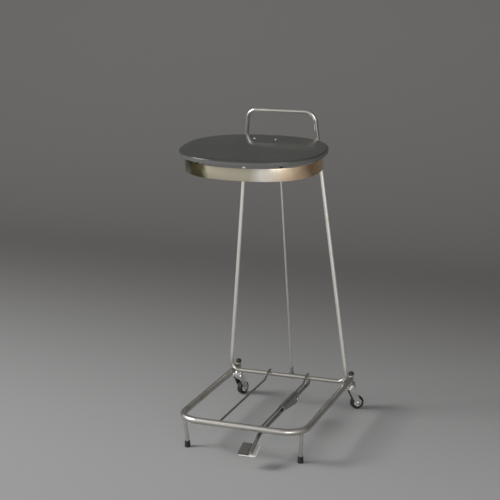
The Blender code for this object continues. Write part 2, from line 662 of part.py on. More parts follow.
def make_pedal(pedal_axis):
    """The lever, one rod with a pivot boss, its cross pin, and the foot plate with its pad."""
    radius = LEVER_DIAMETER / 2
    slope = math.radians(PEDAL_SLOPE)
    bend = Vector((0, LEVER_BEND_Y - PIVOT_Y, 0))
    toe = bend - LEVER_TOE * Vector((0, math.cos(slope), math.sin(slope)))
    rear_y = TAIL_Y - PIVOT_Y
    pin_end = -LEVER_X - PUSH_EYE_WIDTH / 2 - LEVER_PIN_OVERHANG
    corners = [toe, bend, (0, rear_y - TAIL_SLOPE_RUN, 0), (0, rear_y, TAIL_RISE), (pin_end, rear_y, TAIL_RISE)]
    path = rounded_path(corners, [0, LEVER_BEND_RADIUS] + [TAIL_BEND_RADIUS] * 3)
    lever = part("pedal_lever", tube_mesh("pedal_lever", path, LEVER_DIAMETER, sides=12), STEEL, pedal_axis)
    boss_width = BRACKET_WIDTH - 2 * BRACKET_SHEET - 2 * BOSS_PLAY
    boss = rod_mesh("pivot_boss", BOSS_DIAMETER, -boss_width / 2, boss_width / 2)
    combine(lever, cutter("pivot_boss", boss, pedal_axis, rotation=TURN_TO_X), "UNION")
    bore = rod_mesh("pivot_bore", PIVOT_DIAMETER + 2 * GAP, -boss_width, boss_width)
    combine(lever, cutter("pivot_bore", bore, pedal_axis, rotation=TURN_TO_X))
    pedal_slope = new_empty("pedal_slope", pedal_axis, bend, (slope, 0, 0))
    corners = [(-PEDAL_LEFT, -PEDAL_FRONT, 0), (PEDAL_RIGHT, -PEDAL_FRONT, 0),
               (PEDAL_RIGHT, -PEDAL_BACK, 0), (-PEDAL_LEFT, -PEDAL_BACK, 0)]
    outline = rounded_path(corners, [PEDAL_CORNER_RADIUS], closed=True, step=18)
    plate = plate_mesh("pedal_plate", [[(point.x, point.y) for point in outline]], PEDAL_THICKNESS)
    part("pedal_plate", plate, STEEL, pedal_slope, (0, 0, -radius - GAP - PEDAL_THICKNESS / 2))
    low = (-PEDAL_LEFT + PAD_MARGIN, -PEDAL_FRONT + PAD_MARGIN, -radius)
    high = (-radius - PAD_MARGIN, -PEDAL_BACK - PAD_MARGIN, PAD_THICKNESS - radius)
    pad = part("pedal_pad", box_mesh("pedal_pad", low, high), BLACK_RUBBER, pedal_slope)
    rounding = pad.modifiers.new("round_edges", "BEVEL")
    rounding.width = PAD_EDGE_RADIUS
    rounding.segments = 2
    clip_x = pin_end + LEVER_PIN_OVERHANG / 2
    clip = ring_mesh("lower_clip", radius + GAP, radius + CLIP_WALL, CLIP_THICKNESS)
    part("lower_clip", clip, DARK_STEEL, pedal_axis, (clip_x, rear_y, TAIL_RISE), TURN_TO_X)


def make_pivot_bracket(root):
    """The channel under the right support rod in which the lever turns, and its pin."""
    top = RAIL_HEIGHT - SUPPORT_DIAMETER / 2 - GAP
    rear = PIVOT_Y + BRACKET_REAR_RUN
    bottom = PIVOT_HEIGHT - BRACKET_LIP
    profile = [(BRACKET_FRONT_Y, top), (BRACKET_FRONT_Y, top - BRACKET_NOSE_DEPTH),
               (PIVOT_Y - BRACKET_REAR_RUN, bottom), (rear, bottom), (rear, top)]
    bracket = part("pivot_bracket", plate_mesh("pivot_bracket", [profile], BRACKET_WIDTH), DARK_STEEL, root,
                   (LEVER_X, 0, 0), TURN_TO_SIDE)
    inside = BRACKET_WIDTH / 2 - BRACKET_SHEET
    length = rear - BRACKET_FRONT_Y
    channel = box_mesh("bracket_channel", (-inside, BRACKET_FRONT_Y - length, bottom - RAIL_HEIGHT),
                       (inside, rear + length, top - BRACKET_SHEET))
    combine(bracket, cutter("bracket_channel", channel, root, (LEVER_X, 0, 0)))
    hole = rod_mesh("pivot_hole", PIVOT_DIAMETER + 2 * GAP, -BRACKET_WIDTH, BRACKET_WIDTH)
    combine(bracket, cutter("pivot_hole", hole, root, PIVOT, TURN_TO_X))
    reach = BRACKET_WIDTH / 2 + GAP
    head = reach + PIVOT_HEAD_THICKNESS
    wide = PIVOT_HEAD_DIAMETER / 2
    slim = PIVOT_DIAMETER / 2
    pin = [(0, head), (wide, head), (wide, reach), (slim, reach), (slim, -reach), (wide, -reach),
           (wide, -head), (0, -head)]
    part("pivot_pin", turned_mesh("pivot_pin", pin), STEEL, root, PIVOT, TURN_TO_X)


def make_push_rod(push_axis):
    """The push rod, bent to a pin at the top and held in an eye end at the bottom."""
    pin_y, pin_z = crank_pin()
    pin = HEAD + OFF_FRAME * (HINGE_OFFSET + pin_y) + UP_FRAME * (pin_z - HINGE_DROP) - TAIL
    along = pin.normalized()
    corners = [along * (PUSH_END_FLOOR + GAP), pin, pin + Vector((PUSH_PIN_LENGTH, 0, 0))]
    path = rounded_path(corners, [PUSH_BEND_RADIUS])
    part("push_rod", tube_mesh("push_rod", path, PUSH_DIAMETER, sides=10), STEEL, push_axis)
    eye_inner = LEVER_DIAMETER / 2 + PIN_PLAY
    eye_outer = eye_inner + PUSH_EYE_WALL
    eye = ring_mesh("push_rod_end", eye_inner, eye_outer, PUSH_EYE_WIDTH)
    end = part("push_rod_end", eye, DARK_STEEL, push_axis, rotation=TURN_TO_X)
    bore = PUSH_DIAMETER / 2 + GAP
    wide = PUSH_END_DIAMETER / 2
    foot = eye_inner + PUSH_EYE_WALL / 2
    shank = [(0, PUSH_END_FLOOR), (bore, PUSH_END_FLOOR), (bore, PUSH_END_LENGTH), (wide, PUSH_END_LENGTH),
             (wide, foot), (0, foot)]
    tilt = (math.atan2(-along.y, along.z), 0, 0)
    shank = turned_mesh("push_rod_shank", shank)
    combine(end, cutter("push_rod_shank", shank, push_axis, rotation=tilt), "UNION")
    clip = ring_mesh("upper_clip", PUSH_DIAMETER / 2 + GAP, PUSH_DIAMETER / 2 + CLIP_WALL, CLIP_THICKNESS)
    part("upper_clip", clip, DARK_STEEL, push_axis, pin + Vector((PUSH_PIN_LENGTH - CLIP_THICKNESS, 0, 0)),
         TURN_TO_X)


def make_castor_seat(root, side, sign):
    """The sleeve on the end of a side rail, its cap, and the stem that the fork turns on."""
    axis = (sign * RAIL_HALF_WIDTH, CASTOR_Y, 0)
    bottom = RAIL_HEIGHT - SLEEVE_HEIGHT / 2
    top = RAIL_HEIGHT + SLEEVE_HEIGHT / 2
    wide = SLEEVE_DIAMETER / 2
    slim = STEM_DIAMETER / 2
    sleeve = [(wide, top), (wide, bottom), (slim + GAP, bottom), (slim + GAP, top)]
    part("castor_sleeve_" + side, turned_mesh("castor_sleeve", sleeve, closed=True), STEEL, root, axis)
    cap_foot = top + GAP
    cap_wide = CAP_DIAMETER / 2
    cap = [(0, cap_foot + CAP_HEIGHT), (cap_wide * 0.7, cap_foot + CAP_HEIGHT * 0.95),
           (cap_wide, cap_foot + CAP_HEIGHT * 0.7), (cap_wide, cap_foot), (0, cap_foot)]
    part("castor_cap_" + side, turned_mesh("castor_cap", cap), BLACK_PLASTIC, root, axis)
    flange_top = bottom - GAP
    flange_bottom = flange_top - FLANGE_THICKNESS
    rivet_top = flange_bottom - FORK_SHEET - 3 * GAP
    neck = FORK_NECK_DIAMETER / 2
    rivet = FORK_RIVET_DIAMETER / 2
    flange = FLANGE_DIAMETER / 2
    stem = [(0, top - GAP), (slim, top - GAP), (slim, flange_top), (flange, flange_top),
            (flange, flange_bottom), (neck, flange_bottom), (neck, rivet_top), (rivet, rivet_top),
            (rivet, rivet_top - FORK_RIVET_THICKNESS), (0, rivet_top - FORK_RIVET_THICKNESS)]
    part("castor_stem_" + side, turned_mesh("castor_stem", stem), STEEL, root, axis)


def fork_dome_mesh(top):
    """The domed crown of a fork, with the hole that it turns on."""
    outer = FORK_DOME_DIAMETER / 2
    crown = outer / 2
    hole = FORK_NECK_DIAMETER / 2 + GAP
    outside = arc((0, 0), 1, 90, 0, 30)
    profile = [(hole, top)]
    profile += [(crown + (outer - crown) * x, top - FORK_DOME_HEIGHT * (1 - y)) for x, y in outside]
    inner_height = FORK_DOME_HEIGHT - FORK_SHEET
    profile += [(crown + (outer - crown - FORK_SHEET) * x, top - FORK_SHEET - inner_height * (1 - y))
                for x, y in outside[::-1]]
    profile.append((hole, top - FORK_SHEET))
    return turned_mesh("fork_dome", profile, closed=True)


def make_castor(swivel, wheel, side):
    """A fork with its axle on the swivel, and the wheel's hub and tyre on the wheel axis."""
    top = RAIL_HEIGHT - SLEEVE_HEIGHT / 2 - FLANGE_THICKNESS - 2 * GAP
    axle_height = WHEEL_DIAMETER / 2
    fork = part("castor_fork_" + side, fork_dome_mesh(top), POLISHED, swivel)
    cheek_outline = link_outline((0, top - FORK_CHEEK_DROP), FORK_CHEEK_DIAMETER / 2,
                                 (CASTOR_TRAIL, axle_height), FORK_BOSS_DIAMETER / 2)
    axle_hole = arc((CASTOR_TRAIL, axle_height), AXLE_DIAMETER / 2 + GAP, 0, 340, 20)
    cheek = plate_mesh("fork_cheek", [cheek_outline, axle_hole], FORK_SHEET)
    offset = FORK_INNER_WIDTH / 2 + FORK_SHEET / 2
    for number, sign in enumerate((-1, 1)):
        name = "fork_cheek_%s_%d" % (side, number)
        combine(fork, cutter(name, cheek.copy(), swivel, (sign * offset, 0, 0), TURN_TO_SIDE), "UNION")
    slim = AXLE_DIAMETER / 2
    wide = AXLE_HEAD_DIAMETER / 2
    reach = FORK_INNER_WIDTH / 2 + FORK_SHEET + GAP
    head = reach + AXLE_HEAD_THICKNESS
    axle = [(0, head), (wide * 0.7, head), (wide, reach + AXLE_HEAD_THICKNESS / 2), (wide, reach),
            (slim, reach), (slim, -reach), (wide, -reach), (wide, -reach - AXLE_HEAD_THICKNESS / 2),
            (wide * 0.7, -head), (0, -head)]
    part("castor_axle_" + side, turned_mesh("castor_axle", axle), STEEL, swivel,
         (0, CASTOR_TRAIL, axle_height), TURN_TO_X)
    rim = HUB_DIAMETER / 2
    bore = slim + GAP
    boss = (bore + rim) / 2
    half = HUB_WIDTH / 2
    seat = TYRE_WIDTH / 2
    hub = [(boss, half), (rim, seat), (rim, -seat), (boss, -half), (bore, -half), (bore, half)]
    part("castor_hub_" + side, turned_mesh("castor_hub", hub, closed=True), PALE_PLASTIC, wheel,
         rotation=TURN_TO_X)
    tread = WHEEL_DIAMETER / 2
    edge = TYRE_EDGE_RADIUS
    upper = arc((tread - edge, seat - edge), edge, 90, 0, 30)
    lower = arc((tread - edge, edge - seat), edge, 0, -90, 30)
    tyre = upper + lower + [(rim + GAP, -seat), (rim + GAP, seat)]
    part("castor_tyre_" + side, turned_mesh("castor_tyre", tyre, closed=True, steps=24), BLACK_RUBBER, wheel,
         rotation=TURN_TO_X)


def footprint_middle():
    """The middle of the finished holder's outer box, on the floor."""
    bpy.context.view_layer.update()
    depsgraph = bpy.context.evaluated_depsgraph_get()
    across = []
    depths = []
    for obj in PARTS.objects:
        if obj.type == "MESH":
            placed = obj.evaluated_get(depsgraph)
            corners = [placed.matrix_world @ vertex.co for vertex in placed.data.vertices]
            across += [corner.x for corner in corners]
            depths += [corner.y for corner in corners]
    return Vector((min(across) + max(across), min(depths) + max(depths), 0)) / 2


def build():
    """Makes every piece on its carrier, then centres the holder on its footprint."""
    root = new_empty("stand", None, (0, 0, 0))
    head = new_empty("head", root, HEAD, (FRAME_LEAN, 0, 0))
    lid_axis = new_empty("lid_axis", head, (0, HINGE_OFFSET, -HINGE_DROP))
    pedal_axis = new_empty("pedal_axis", root, PIVOT)
    push_axis = new_empty("push_axis", pedal_axis, TAIL - PIVOT)
    make_base(root)
    around_rail = tube_mesh("rail_seat", base_path(), RAIL_DIAMETER + 2 * GAP, sides=16)
    rail_seat = cutter("rail_seat", around_rail, root)
    make_front_legs(root, rail_seat)
    make_support_rods(root, rail_seat)
    make_back_frame(root)
    make_sack_hoop(head)
    make_hinge_rod(head)
    rivet_holes = make_lid_rivets(lid_axis)
    make_lid(lid_axis, rivet_holes)
    make_lid_straps(lid_axis, rivet_holes)
    make_lid_crank(lid_axis)
    make_lid_buffers(lid_axis)
    make_pivot_bracket(root)
    make_pedal(pedal_axis)
    make_push_rod(push_axis)
    for (side, sign), yaw in zip(SIDES, (CASTOR_YAW_LEFT, CASTOR_YAW_RIGHT)):
        make_castor_seat(root, side, sign)
        swivel = new_empty("castor_axis_" + side, root, (sign * RAIL_HALF_WIDTH, CASTOR_Y, 0),
                           (0, 0, -math.radians(yaw)))
        wheel = new_empty("wheel_axis_" + side, swivel, (0, CASTOR_TRAIL, WHEEL_DIAMETER / 2))
        make_castor(swivel, wheel, side)
    root.location = -footprint_middle()


for old in list(bpy.data.objects):
    bpy.data.objects.remove(old)
PARTS = new_collection("waste_sack_holder")
CUTTERS = new_collection("cutters")
build()
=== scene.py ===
"""The looks of a waste sack holder: a bent steel stand on two feet and two castors, an oval hoop for the
sack, and a dark lid that a pedal lifts through a push rod. Metres, +Z up, the pedal towards -Y.
"""
import json
import math

import bmesh
import bpy
import numpy as np
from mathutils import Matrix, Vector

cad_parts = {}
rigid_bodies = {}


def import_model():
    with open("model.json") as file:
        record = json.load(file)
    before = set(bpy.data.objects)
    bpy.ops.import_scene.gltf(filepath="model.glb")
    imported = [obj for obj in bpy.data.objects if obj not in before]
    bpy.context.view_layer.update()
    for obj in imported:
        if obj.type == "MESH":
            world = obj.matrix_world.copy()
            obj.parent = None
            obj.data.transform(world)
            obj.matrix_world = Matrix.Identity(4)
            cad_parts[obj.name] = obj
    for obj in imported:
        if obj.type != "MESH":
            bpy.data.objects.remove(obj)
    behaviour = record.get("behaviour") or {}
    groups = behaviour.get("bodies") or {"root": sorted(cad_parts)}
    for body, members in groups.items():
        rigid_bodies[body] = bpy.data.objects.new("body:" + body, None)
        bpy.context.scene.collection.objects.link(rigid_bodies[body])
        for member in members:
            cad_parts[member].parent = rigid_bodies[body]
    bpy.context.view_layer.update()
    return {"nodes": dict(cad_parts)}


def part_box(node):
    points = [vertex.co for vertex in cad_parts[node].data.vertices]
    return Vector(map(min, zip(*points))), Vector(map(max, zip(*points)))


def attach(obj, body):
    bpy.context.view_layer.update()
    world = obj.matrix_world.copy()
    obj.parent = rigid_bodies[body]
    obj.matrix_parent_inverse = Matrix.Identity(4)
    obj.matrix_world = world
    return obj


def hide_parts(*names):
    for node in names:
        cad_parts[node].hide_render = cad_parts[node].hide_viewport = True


for leftover in list(bpy.data.objects):
    bpy.data.objects.remove(leftover)
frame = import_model()


# Base tube
# One length of satin stainless tube, bent into the front rail and the two side rails. Its rear ends are
# cut square and welded to the castor sleeves. The polish runs along the tube, dulled by mopping.

def unit(vectors):
    """Each vector divided by its length."""
    return vectors / np.maximum(np.linalg.norm(vectors, axis=-1, keepdims=True), 1e-12)


def rounded(corners, radius, closed=False, steps=14):
    """Straight runs between the corners, each bend an arc of that radius that touches both its runs."""
    corners = np.asarray(corners, float)
    radius = np.broadcast_to(radius, len(corners)).astype(float)
    before = unit(corners - np.roll(corners, 1, axis=0))
    after = unit(np.roll(corners, -1, axis=0) - corners)
    cosine = np.clip((before * after).sum(axis=1), -1, 1)
    inward = unit(after - before * cosine[:, None])
    turn = np.arccos(cosine)
    middle = corners - before * (radius * np.tan(turn / 2))[:, None] + inward * radius[:, None]
    angle = turn[:, None] * np.linspace(0, 1, steps)
    spoke = np.sin(angle)[..., None] * before[:, None] - np.cos(angle)[..., None] * inward[:, None]
    arcs = middle[:, None] + radius[:, None, None] * spoke
    if closed:
        return np.concatenate([arcs.reshape(-1, corners.shape[1]), arcs[0, :1]])
    return np.concatenate([corners[:1], arcs[1:-1].reshape(-1, corners.shape[1]), corners[-1:]])


def carried(path, outline, reference, closed=False, edge=0.0):
    """An outline carried along a path: each row is the outline set square to the path, its first axis the
    reference direction less its part along the path. Open paths end in a flat face with an eased edge."""
    path = np.asarray(path, float)
    reference = np.asarray(reference, float)
    run = unit(np.diff(path, axis=0))
    along = unit(np.concatenate([run, run[:1] if closed else run[-1:]])
                 + np.concatenate([run[-1:] if closed else run[:1], run]))
    side = unit(reference - along * (along @ reference)[:, None])
    up = np.cross(along, side)
    row = np.arange(len(path))
    shift = np.zeros(len(path))
    size = np.ones(len(path))
    if not closed:
        reach = np.abs(outline).max()
        ease = np.linspace(0, np.pi / 2, 4)
        inset = edge * (1 - np.cos(ease))
        narrow = 1 - edge / reach * (1 - np.sin(ease))
        row = np.concatenate([[0] * 5, row[1:-1], [row[-1]] * 5])
        shift = np.concatenate([[0], inset, shift[1:-1], -inset[::-1], [0]])
        size = np.concatenate([[0], narrow, size[1:-1], narrow[::-1], [0]])
    centre = path[row] + along[row] * shift[:, None]
    across = outline[:, 0, None] * side[row][:, None] + outline[:, 1, None] * up[row][:, None]
    return centre[:, None] + size[:, None, None] * across


def circle(radius, sides=32):
    """Points round a circle, the first one given again at the end."""
    angle = np.linspace(0, 2 * np.pi, sides + 1)
    return radius * np.stack([np.cos(angle), np.sin(angle)], axis=1)


def mark_edges(mesh):
    """The attribute edge_wear: at each point the sharpest outward bend there, the turn between two faces over
    the distance between their middles, and 1 for a bend of 1 mm radius or less."""
    faces, loops, edges = len(mesh.polygons), len(mesh.loops), len(mesh.edges)
    normal, middle, sizes = np.empty(faces * 3), np.empty(faces * 3), np.empty(faces, int)
    edge_of, ends = np.empty(loops, int), np.empty(edges * 2, int)
    mesh.polygons.foreach_get("normal", normal)
    mesh.polygons.foreach_get("center", middle)
    mesh.polygons.foreach_get("loop_total", sizes)
    mesh.loops.foreach_get("edge_index", edge_of)
    mesh.edges.foreach_get("vertices", ends)
    normal, middle = normal.reshape(-1, 3), middle.reshape(-1, 3)
    order = np.argsort(edge_of, kind="stable")
    face_of = np.repeat(np.arange(faces), sizes)[order]
    used, start, count = np.unique(edge_of[order], return_index=True, return_counts=True)
    first, second = face_of[start], face_of[start + count - 1]
    turn = np.arccos(np.clip((normal[first] * normal[second]).sum(axis=1), -1, 1))
    across = middle[second] - middle[first]
    outward = (across * normal[first]).sum(axis=1) < 0
    bend = np.where(outward, turn / np.maximum(np.linalg.norm(across, axis=1), 1e-5), 0)
    sharp_radius = 0.001
    rising = np.argsort(bend, kind="stable")      # a point on several edges keeps the last, its sharpest bend
    worn = np.zeros(len(mesh.vertices))
    for end in (0, 1):
        sharpest = np.zeros(len(worn))
        sharpest[ends.reshape(-1, 2)[used[rising], end]] = np.clip(bend[rising] * sharp_radius, 0, 1)
        worn = np.maximum(worn, sharpest)
    mesh.attributes.new("edge_wear", "FLOAT", "POINT").data.foreach_set("value", worn)


def piece(name, grids, finish, body, slot, *nodes, crease=38):
    """One mesh from grids of points: neighbours make quads, and points that coincide are merged, so that
    seams and poles close. The UV map is in metres, along the rows and across them."""
    points, quads, places = [], [], []
    count = 0
    for grid in grids:
        rows, columns = grid.shape[:2]
        index = count + np.arange(rows * columns).reshape(rows, columns)
        corners = [index[:-1, :-1], index[:-1, 1:], index[1:, 1:], index[1:, :-1]]
        quads.append(np.stack(corners, axis=-1).reshape(-1, 4))
        u = np.append(0, np.linalg.norm(np.diff(grid, axis=0), axis=2).mean(axis=1).cumsum())
        v = np.append(0, np.linalg.norm(np.diff(grid, axis=1), axis=2).max(axis=0).cumsum())
        places.append(np.stack(np.meshgrid(u, v, indexing="ij"), axis=-1).reshape(-1, 2))
        points.append(grid.reshape(-1, 3))
        count += rows * columns
    quads = np.concatenate(quads)
    mesh = bpy.data.meshes.new(name)
    mesh.from_pydata(np.concatenate(points).tolist(), [], quads.tolist())
    layer = mesh.uv_layers.new(name="UVMap")
    layer.data.foreach_set("uv", np.concatenate(places)[quads.ravel()].ravel())
    cage = bmesh.new()
    cage.from_mesh(mesh)
    bmesh.ops.remove_doubles(cage, verts=cage.verts, dist=2e-6)
    bmesh.ops.dissolve_degenerate(cage, edges=cage.edges, dist=1e-7)
    bmesh.ops.recalc_face_normals(cage, faces=cage.faces)
    cage.to_mesh(mesh)
    cage.free()
    mark_edges(mesh)
    mesh.shade_smooth()
    mesh.set_sharp_from_angle(angle=math.radians(crease))
    mesh.materials.append(finish)
    made = bpy.data.objects.new(name, mesh)
    bpy.context.scene.collection.objects.link(made)
    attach(made, body)
    if nodes:
        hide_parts(*nodes)


class Shade:
    """One value in a finish. Arithmetic on it adds Math nodes, and node() adds any other node."""

    def __init__(self, material, socket=None):
        self.material = material
        self.socket = socket

    def node(self, kind, settings, sockets, output=0):
        """A node of that kind: its settings come first, then a value or a link for each socket."""
        made = self.material.node_tree.nodes.new(kind)
        for name, value in settings.items():
            setattr(made, name, value)
        for name, value in sockets.items():
            if isinstance(value, Shade):
                self.material.node_tree.links.new(value.socket, made.inputs[name])
            else:
                made.inputs[name].default_value = value
        return Shade(self.material, made.outputs[output])

    def math(self, operation, first, second):
        return self.node("ShaderNodeMath", {"operation": operation}, {0: first, 1: second})

    def __add__(self, other):
        return self.math("ADD", self, other)

    def __sub__(self, other):
        return self.math("SUBTRACT", self, other)

    def __rsub__(self, other):
        return self.math("SUBTRACT", other, self)

    def __mul__(self, other):
        return self.math("MULTIPLY", self, other)

    __radd__ = __add__
    __rmul__ = __mul__

    def between(self, low, high):
        """0 below low, 1 above high, and a smooth step from one to the other."""
        return self.node("ShaderNodeMapRange", {"interpolation_type": "SMOOTHSTEP"},
                         {"Value": self, "From Min": low, "From Max": high})

    def tint(self, low, high):
        """The colour low where this value is 0 and the colour high where it is 1."""
        low, high = (colour if isinstance(colour, Shade) else (*colour, 1) for colour in (low, high))
        return self.node("ShaderNodeMix", {"data_type": "RGBA"}, {0: self, 6: low, 7: high}, 2)

    def noise(self, scale, detail=2.0):
        """Cloudy noise at these coordinates, about 0.5 on average."""
        return self.node("ShaderNodeTexNoise", {}, {"Vector": self, "Scale": scale, "Detail": detail})

    def stretched(self, *scale):
        """These coordinates multiplied by a scale for each axis."""
        return self.node("ShaderNodeMapping", {}, {"Vector": self, "Scale": scale})

    def axis(self, name):
        """One of the three coordinates."""
        return self.node("ShaderNodeSeparateXYZ", {}, {0: self}, name)

    def along(self):
        """The piece's own UV map, in metres along it and across it."""
        return self.node("ShaderNodeTexCoord", {}, {}, "UV")

    def worn(self):
        """1 on the piece's rounded edges and 0 on its flats, broken up by noise."""
        edge = self.node("ShaderNodeAttribute", {"attribute_name": "edge_wear"}, {}, "Fac")
        return edge.between(0.45, 0.95) * self.noise(180.0, 3.0).between(0.3, 0.6)

    def paint(self, bump, depth, **sockets):
        """Feeds the finish's shader; bump is a height in units of depth metres."""
        shader = self.material.node_tree.nodes["Principled BSDF"]
        sockets["Normal"] = self.node("ShaderNodeBump", {}, {"Height": bump, "Distance": depth})
        for name, value in sockets.items():
            name = name.replace("_", " ")
            if isinstance(value, Shade):
                self.material.node_tree.links.new(value.socket, shader.inputs[name])
            else:
                shader.inputs[name].default_value = value
        return self.material


def new_finish(name):
    """A new material's Object coordinates."""
    material = bpy.data.materials.new(name)
    material.use_nodes = True
    return Shade(material).node("ShaderNodeTexCoord", {}, {}, "Object")


def steel(name, bright, dull, roughness):
    """Stainless steel: polishing lines along the piece, cloudy smears, and water marks that dull it low down."""
    place = new_finish(name)
    lines = place.along().stretched(30, 2600, 1).noise(1.0, 3.0)
    smears = place.noise(26.0, 4.0)
    marks = place.noise(210.0, 2.0).between(0.58, 0.74)
    low = 1 - place.axis("Z").between(0.05, 0.35)
    soiled = smears.between(0.42, 0.75) * (0.45 + 0.55 * low)
    colour = (soiled * 0.8 + marks * 0.2).tint(bright, dull)
    return place.paint(lines, 0.000008, Base_Color=(0.6 * place.worn()).tint(colour, (0.80, 0.79, 0.77)),
                       Roughness=roughness + 0.12 * (lines - 0.5) + 0.10 * soiled + 0.05 * marks, Metallic=1.0)


satin_steel = steel("satin_steel", (0.62, 0.60, 0.56), (0.46, 0.44, 0.40), 0.33)
low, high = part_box("base_tube")
rail_radius = (high.z - low.z) / 2
rail_z = (high.z + low.z) / 2
mid_x = (high.x + low.x) / 2
rail_x = (high.x - low.x) / 2 - rail_radius
front_y = low.y + rail_radius
base_corner = 0.060
base_line = rounded([(mid_x - rail_x, high.y, rail_z), (mid_x - rail_x, front_y, rail_z),
                     (mid_x + rail_x, front_y, rail_z), (mid_x + rail_x, high.y, rail_z)], base_corner, steps=28)
piece("base_tube_skin", [carried(base_line, circle(rail_radius, 40), (0, 0, 1), edge=0.001)],
      satin_steel, "stand", "rail_steel", "base_tube")


# Front legs
# Rods welded under the front corners of the base tube, leaning in a little and bent upright above their feet.
# Each weld is a rippled bead round the rod, left slightly browned by the heat.

def bead(line, radius, reference):
    """A closed line with a round bead along it, thicker and thinner with each pass of the torch."""
    count = len(line)
    grid = carried(line, circle(1.0, 10), reference, closed=True)
    ripple = radius * (1 + 0.2 * np.sin(np.linspace(0, 2 * np.pi * (count // 4), count)))
    return line[:, None] + (grid - line[:, None]) * ripple[:, None, None]


def weld_round(centre, main, branch, main_radius, branch_radius, radius=0.0012):
    """The bead where a rod meets a bar: points at b cos a along the bar and b sin a across it, as far out as
    the bar's own round surface is there."""
    main, branch = np.asarray(main, float), np.asarray(branch, float)
    branch = unit(branch - main * (main @ branch))
    angle = np.linspace(0, 2 * np.pi, 49)[:, None]
    across = branch_radius * np.sin(angle)
    out = np.sqrt(main_radius ** 2 - across ** 2)
    line = centre + branch_radius * np.cos(angle) * main + across * np.cross(main, branch) + out * branch
    return bead(line, radius, branch)


def weld_metal():
    """Dull bead metal, straw to brown with heat, and pitted."""
    place = new_finish("weld_metal")
    heat = place.noise(300.0, 3.0).between(0.35, 0.7)
    pits = place.noise(2200.0, 2.0)
    return place.paint(pits, 0.0002, Base_Color=heat.tint((0.56, 0.53, 0.47), (0.36, 0.30, 0.22)),
                       Roughness=0.34 + 0.25 * pits, Metallic=1.0)


welds = weld_metal()
SIDES = {"left": -1, "right": 1}
leg_radius, leg_straight, leg_bend = 0.005, 0.022, 0.020
leg_turn = math.radians(33)
for side, sign in SIDES.items():
    low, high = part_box("foot_ferrule_" + side)
    foot = np.array([(low.x + high.x) / 2, (low.y + high.y) / 2, 0.0])
    seat = np.array([mid_x + sign * (rail_x - base_corner * (1 - math.cos(leg_turn))),
                     front_y + base_corner * (1 - math.sin(leg_turn)), rail_z])
    line = rounded([foot + (0, 0, 0.004), foot + (0, 0, leg_straight), seat], leg_bend)
    piece("front_leg_%s_skin" % side, [carried(line, circle(leg_radius), (0, 1, 0), edge=0.0008)],
          satin_steel, "stand", "rail_steel", "front_leg_" + side)
    corner_run = (sign * math.sin(leg_turn), math.cos(leg_turn), 0)
    piece("front_leg_%s_weld" % side,
          [weld_round(seat, corner_run, foot + (0, 0, leg_straight) - seat, rail_radius, leg_radius)],
          welds, "stand", "rail_steel")


# Foot ferrules
# Black rubber ends pushed on to the legs, with shallow grip rings and a flat sole. Dust has greyed them near
# the floor.

def turned(profile, centre, axis=(0, 0, 1), edge=0.0006, closed=False, sides=40):
    """A profile of (radius, height) turned round an axis through the centre, its corners eased by arcs."""
    line = rounded(profile, edge, closed, 5)
    axis = np.asarray(axis, float)
    across = unit(np.cross(axis, (0.0, 0.6, 0.8) if abs(axis[0]) > 0.6 else (1.0, 0.0, 0.0)))
    ring = circle(1.0, sides)
    spokes = ring[:, :1] * across + ring[:, 1:] * np.cross(axis, across)
    return np.asarray(centre, float) + line[:, None, 1:] * axis + line[:, None, :1] * spokes


def rubber(name, colour, dust, grain):
    """Matt rubber with a fine grain, dust on its lower part and greyed edges."""
    place = new_finish(name)
    pores = place.noise(grain, 3.0)
    patches = place.noise(120.0, 3.0)
    dusty = (1 - place.axis("Z").between(0.0, 0.03)) * patches.between(0.35, 0.75)
    return place.paint(pores, 0.00015,
                       Base_Color=(dusty * 0.6 + 0.2 * patches + 0.3 * place.worn()).tint(colour, dust),
                       Roughness=0.52 + 0.2 * patches + 0.1 * pores, Specular_IOR_Level=0.35)


black_rubber = rubber("black_rubber", (0.008, 0.008, 0.009), (0.05, 0.048, 0.045), 1500.0)
for side in SIDES:
    low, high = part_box("foot_ferrule_" + side)
    wide = (high.x - low.x) / 2
    top = high.z
    profile = [(0, top - 0.0003), (leg_radius + 0.0002, top - 0.0003), (leg_radius + 0.0006, top)]
    for ring in np.linspace(0.92, 0.5, 4):
        flank = wide * (1 - 0.07 * ring)
        profile += [(flank, top * ring), (flank - 0.0006, top * (ring - 0.05)), (flank, top * (ring - 0.1))]
    profile += [(wide, top * 0.25), (wide, 0.0), (0, 0.0)]
    piece("foot_ferrule_%s_skin" % side,
          [turned(profile, ((low.x + high.x) / 2, (low.y + high.y) / 2, 0), edge=0.0004)],
          black_rubber, "stand", "black_rubber", "foot_ferrule_" + side)


# Back frame
# One closed loop of steel rod, bent into the rear rail, two leaning uprights and the handle, and brushed. Its
# lower bends are welded to the side rails. Hands have worn the handle smooth. Its colour has painted light: the
# uprights painted bright, the rear rail and the handle painted darker as shade.

low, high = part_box("back_frame")
frame_radius = 0.006
rear_rail = np.array([mid_x, high.y - frame_radius, low.z + frame_radius])
frame_rise = high.z - low.z - 2 * frame_radius
frame_run = high.y - low.y - 2 * frame_radius
frame_length = math.hypot(frame_rise, frame_run)
lean = math.atan2(frame_run, frame_rise)
up_frame = np.array([0.0, -math.sin(lean), math.cos(lean)])
off_frame = np.array([0.0, math.cos(lean), math.sin(lean)])
foot_x, handle_x = 0.180364, 0.0961
foot_bend, handle_bend = 0.025, 0.028


def on_frame(x, up):
    """A point in the frame's plane, across and up from the rear rail's middle."""
    return rear_rail + up * up_frame + np.array([x, 0.0, 0.0])


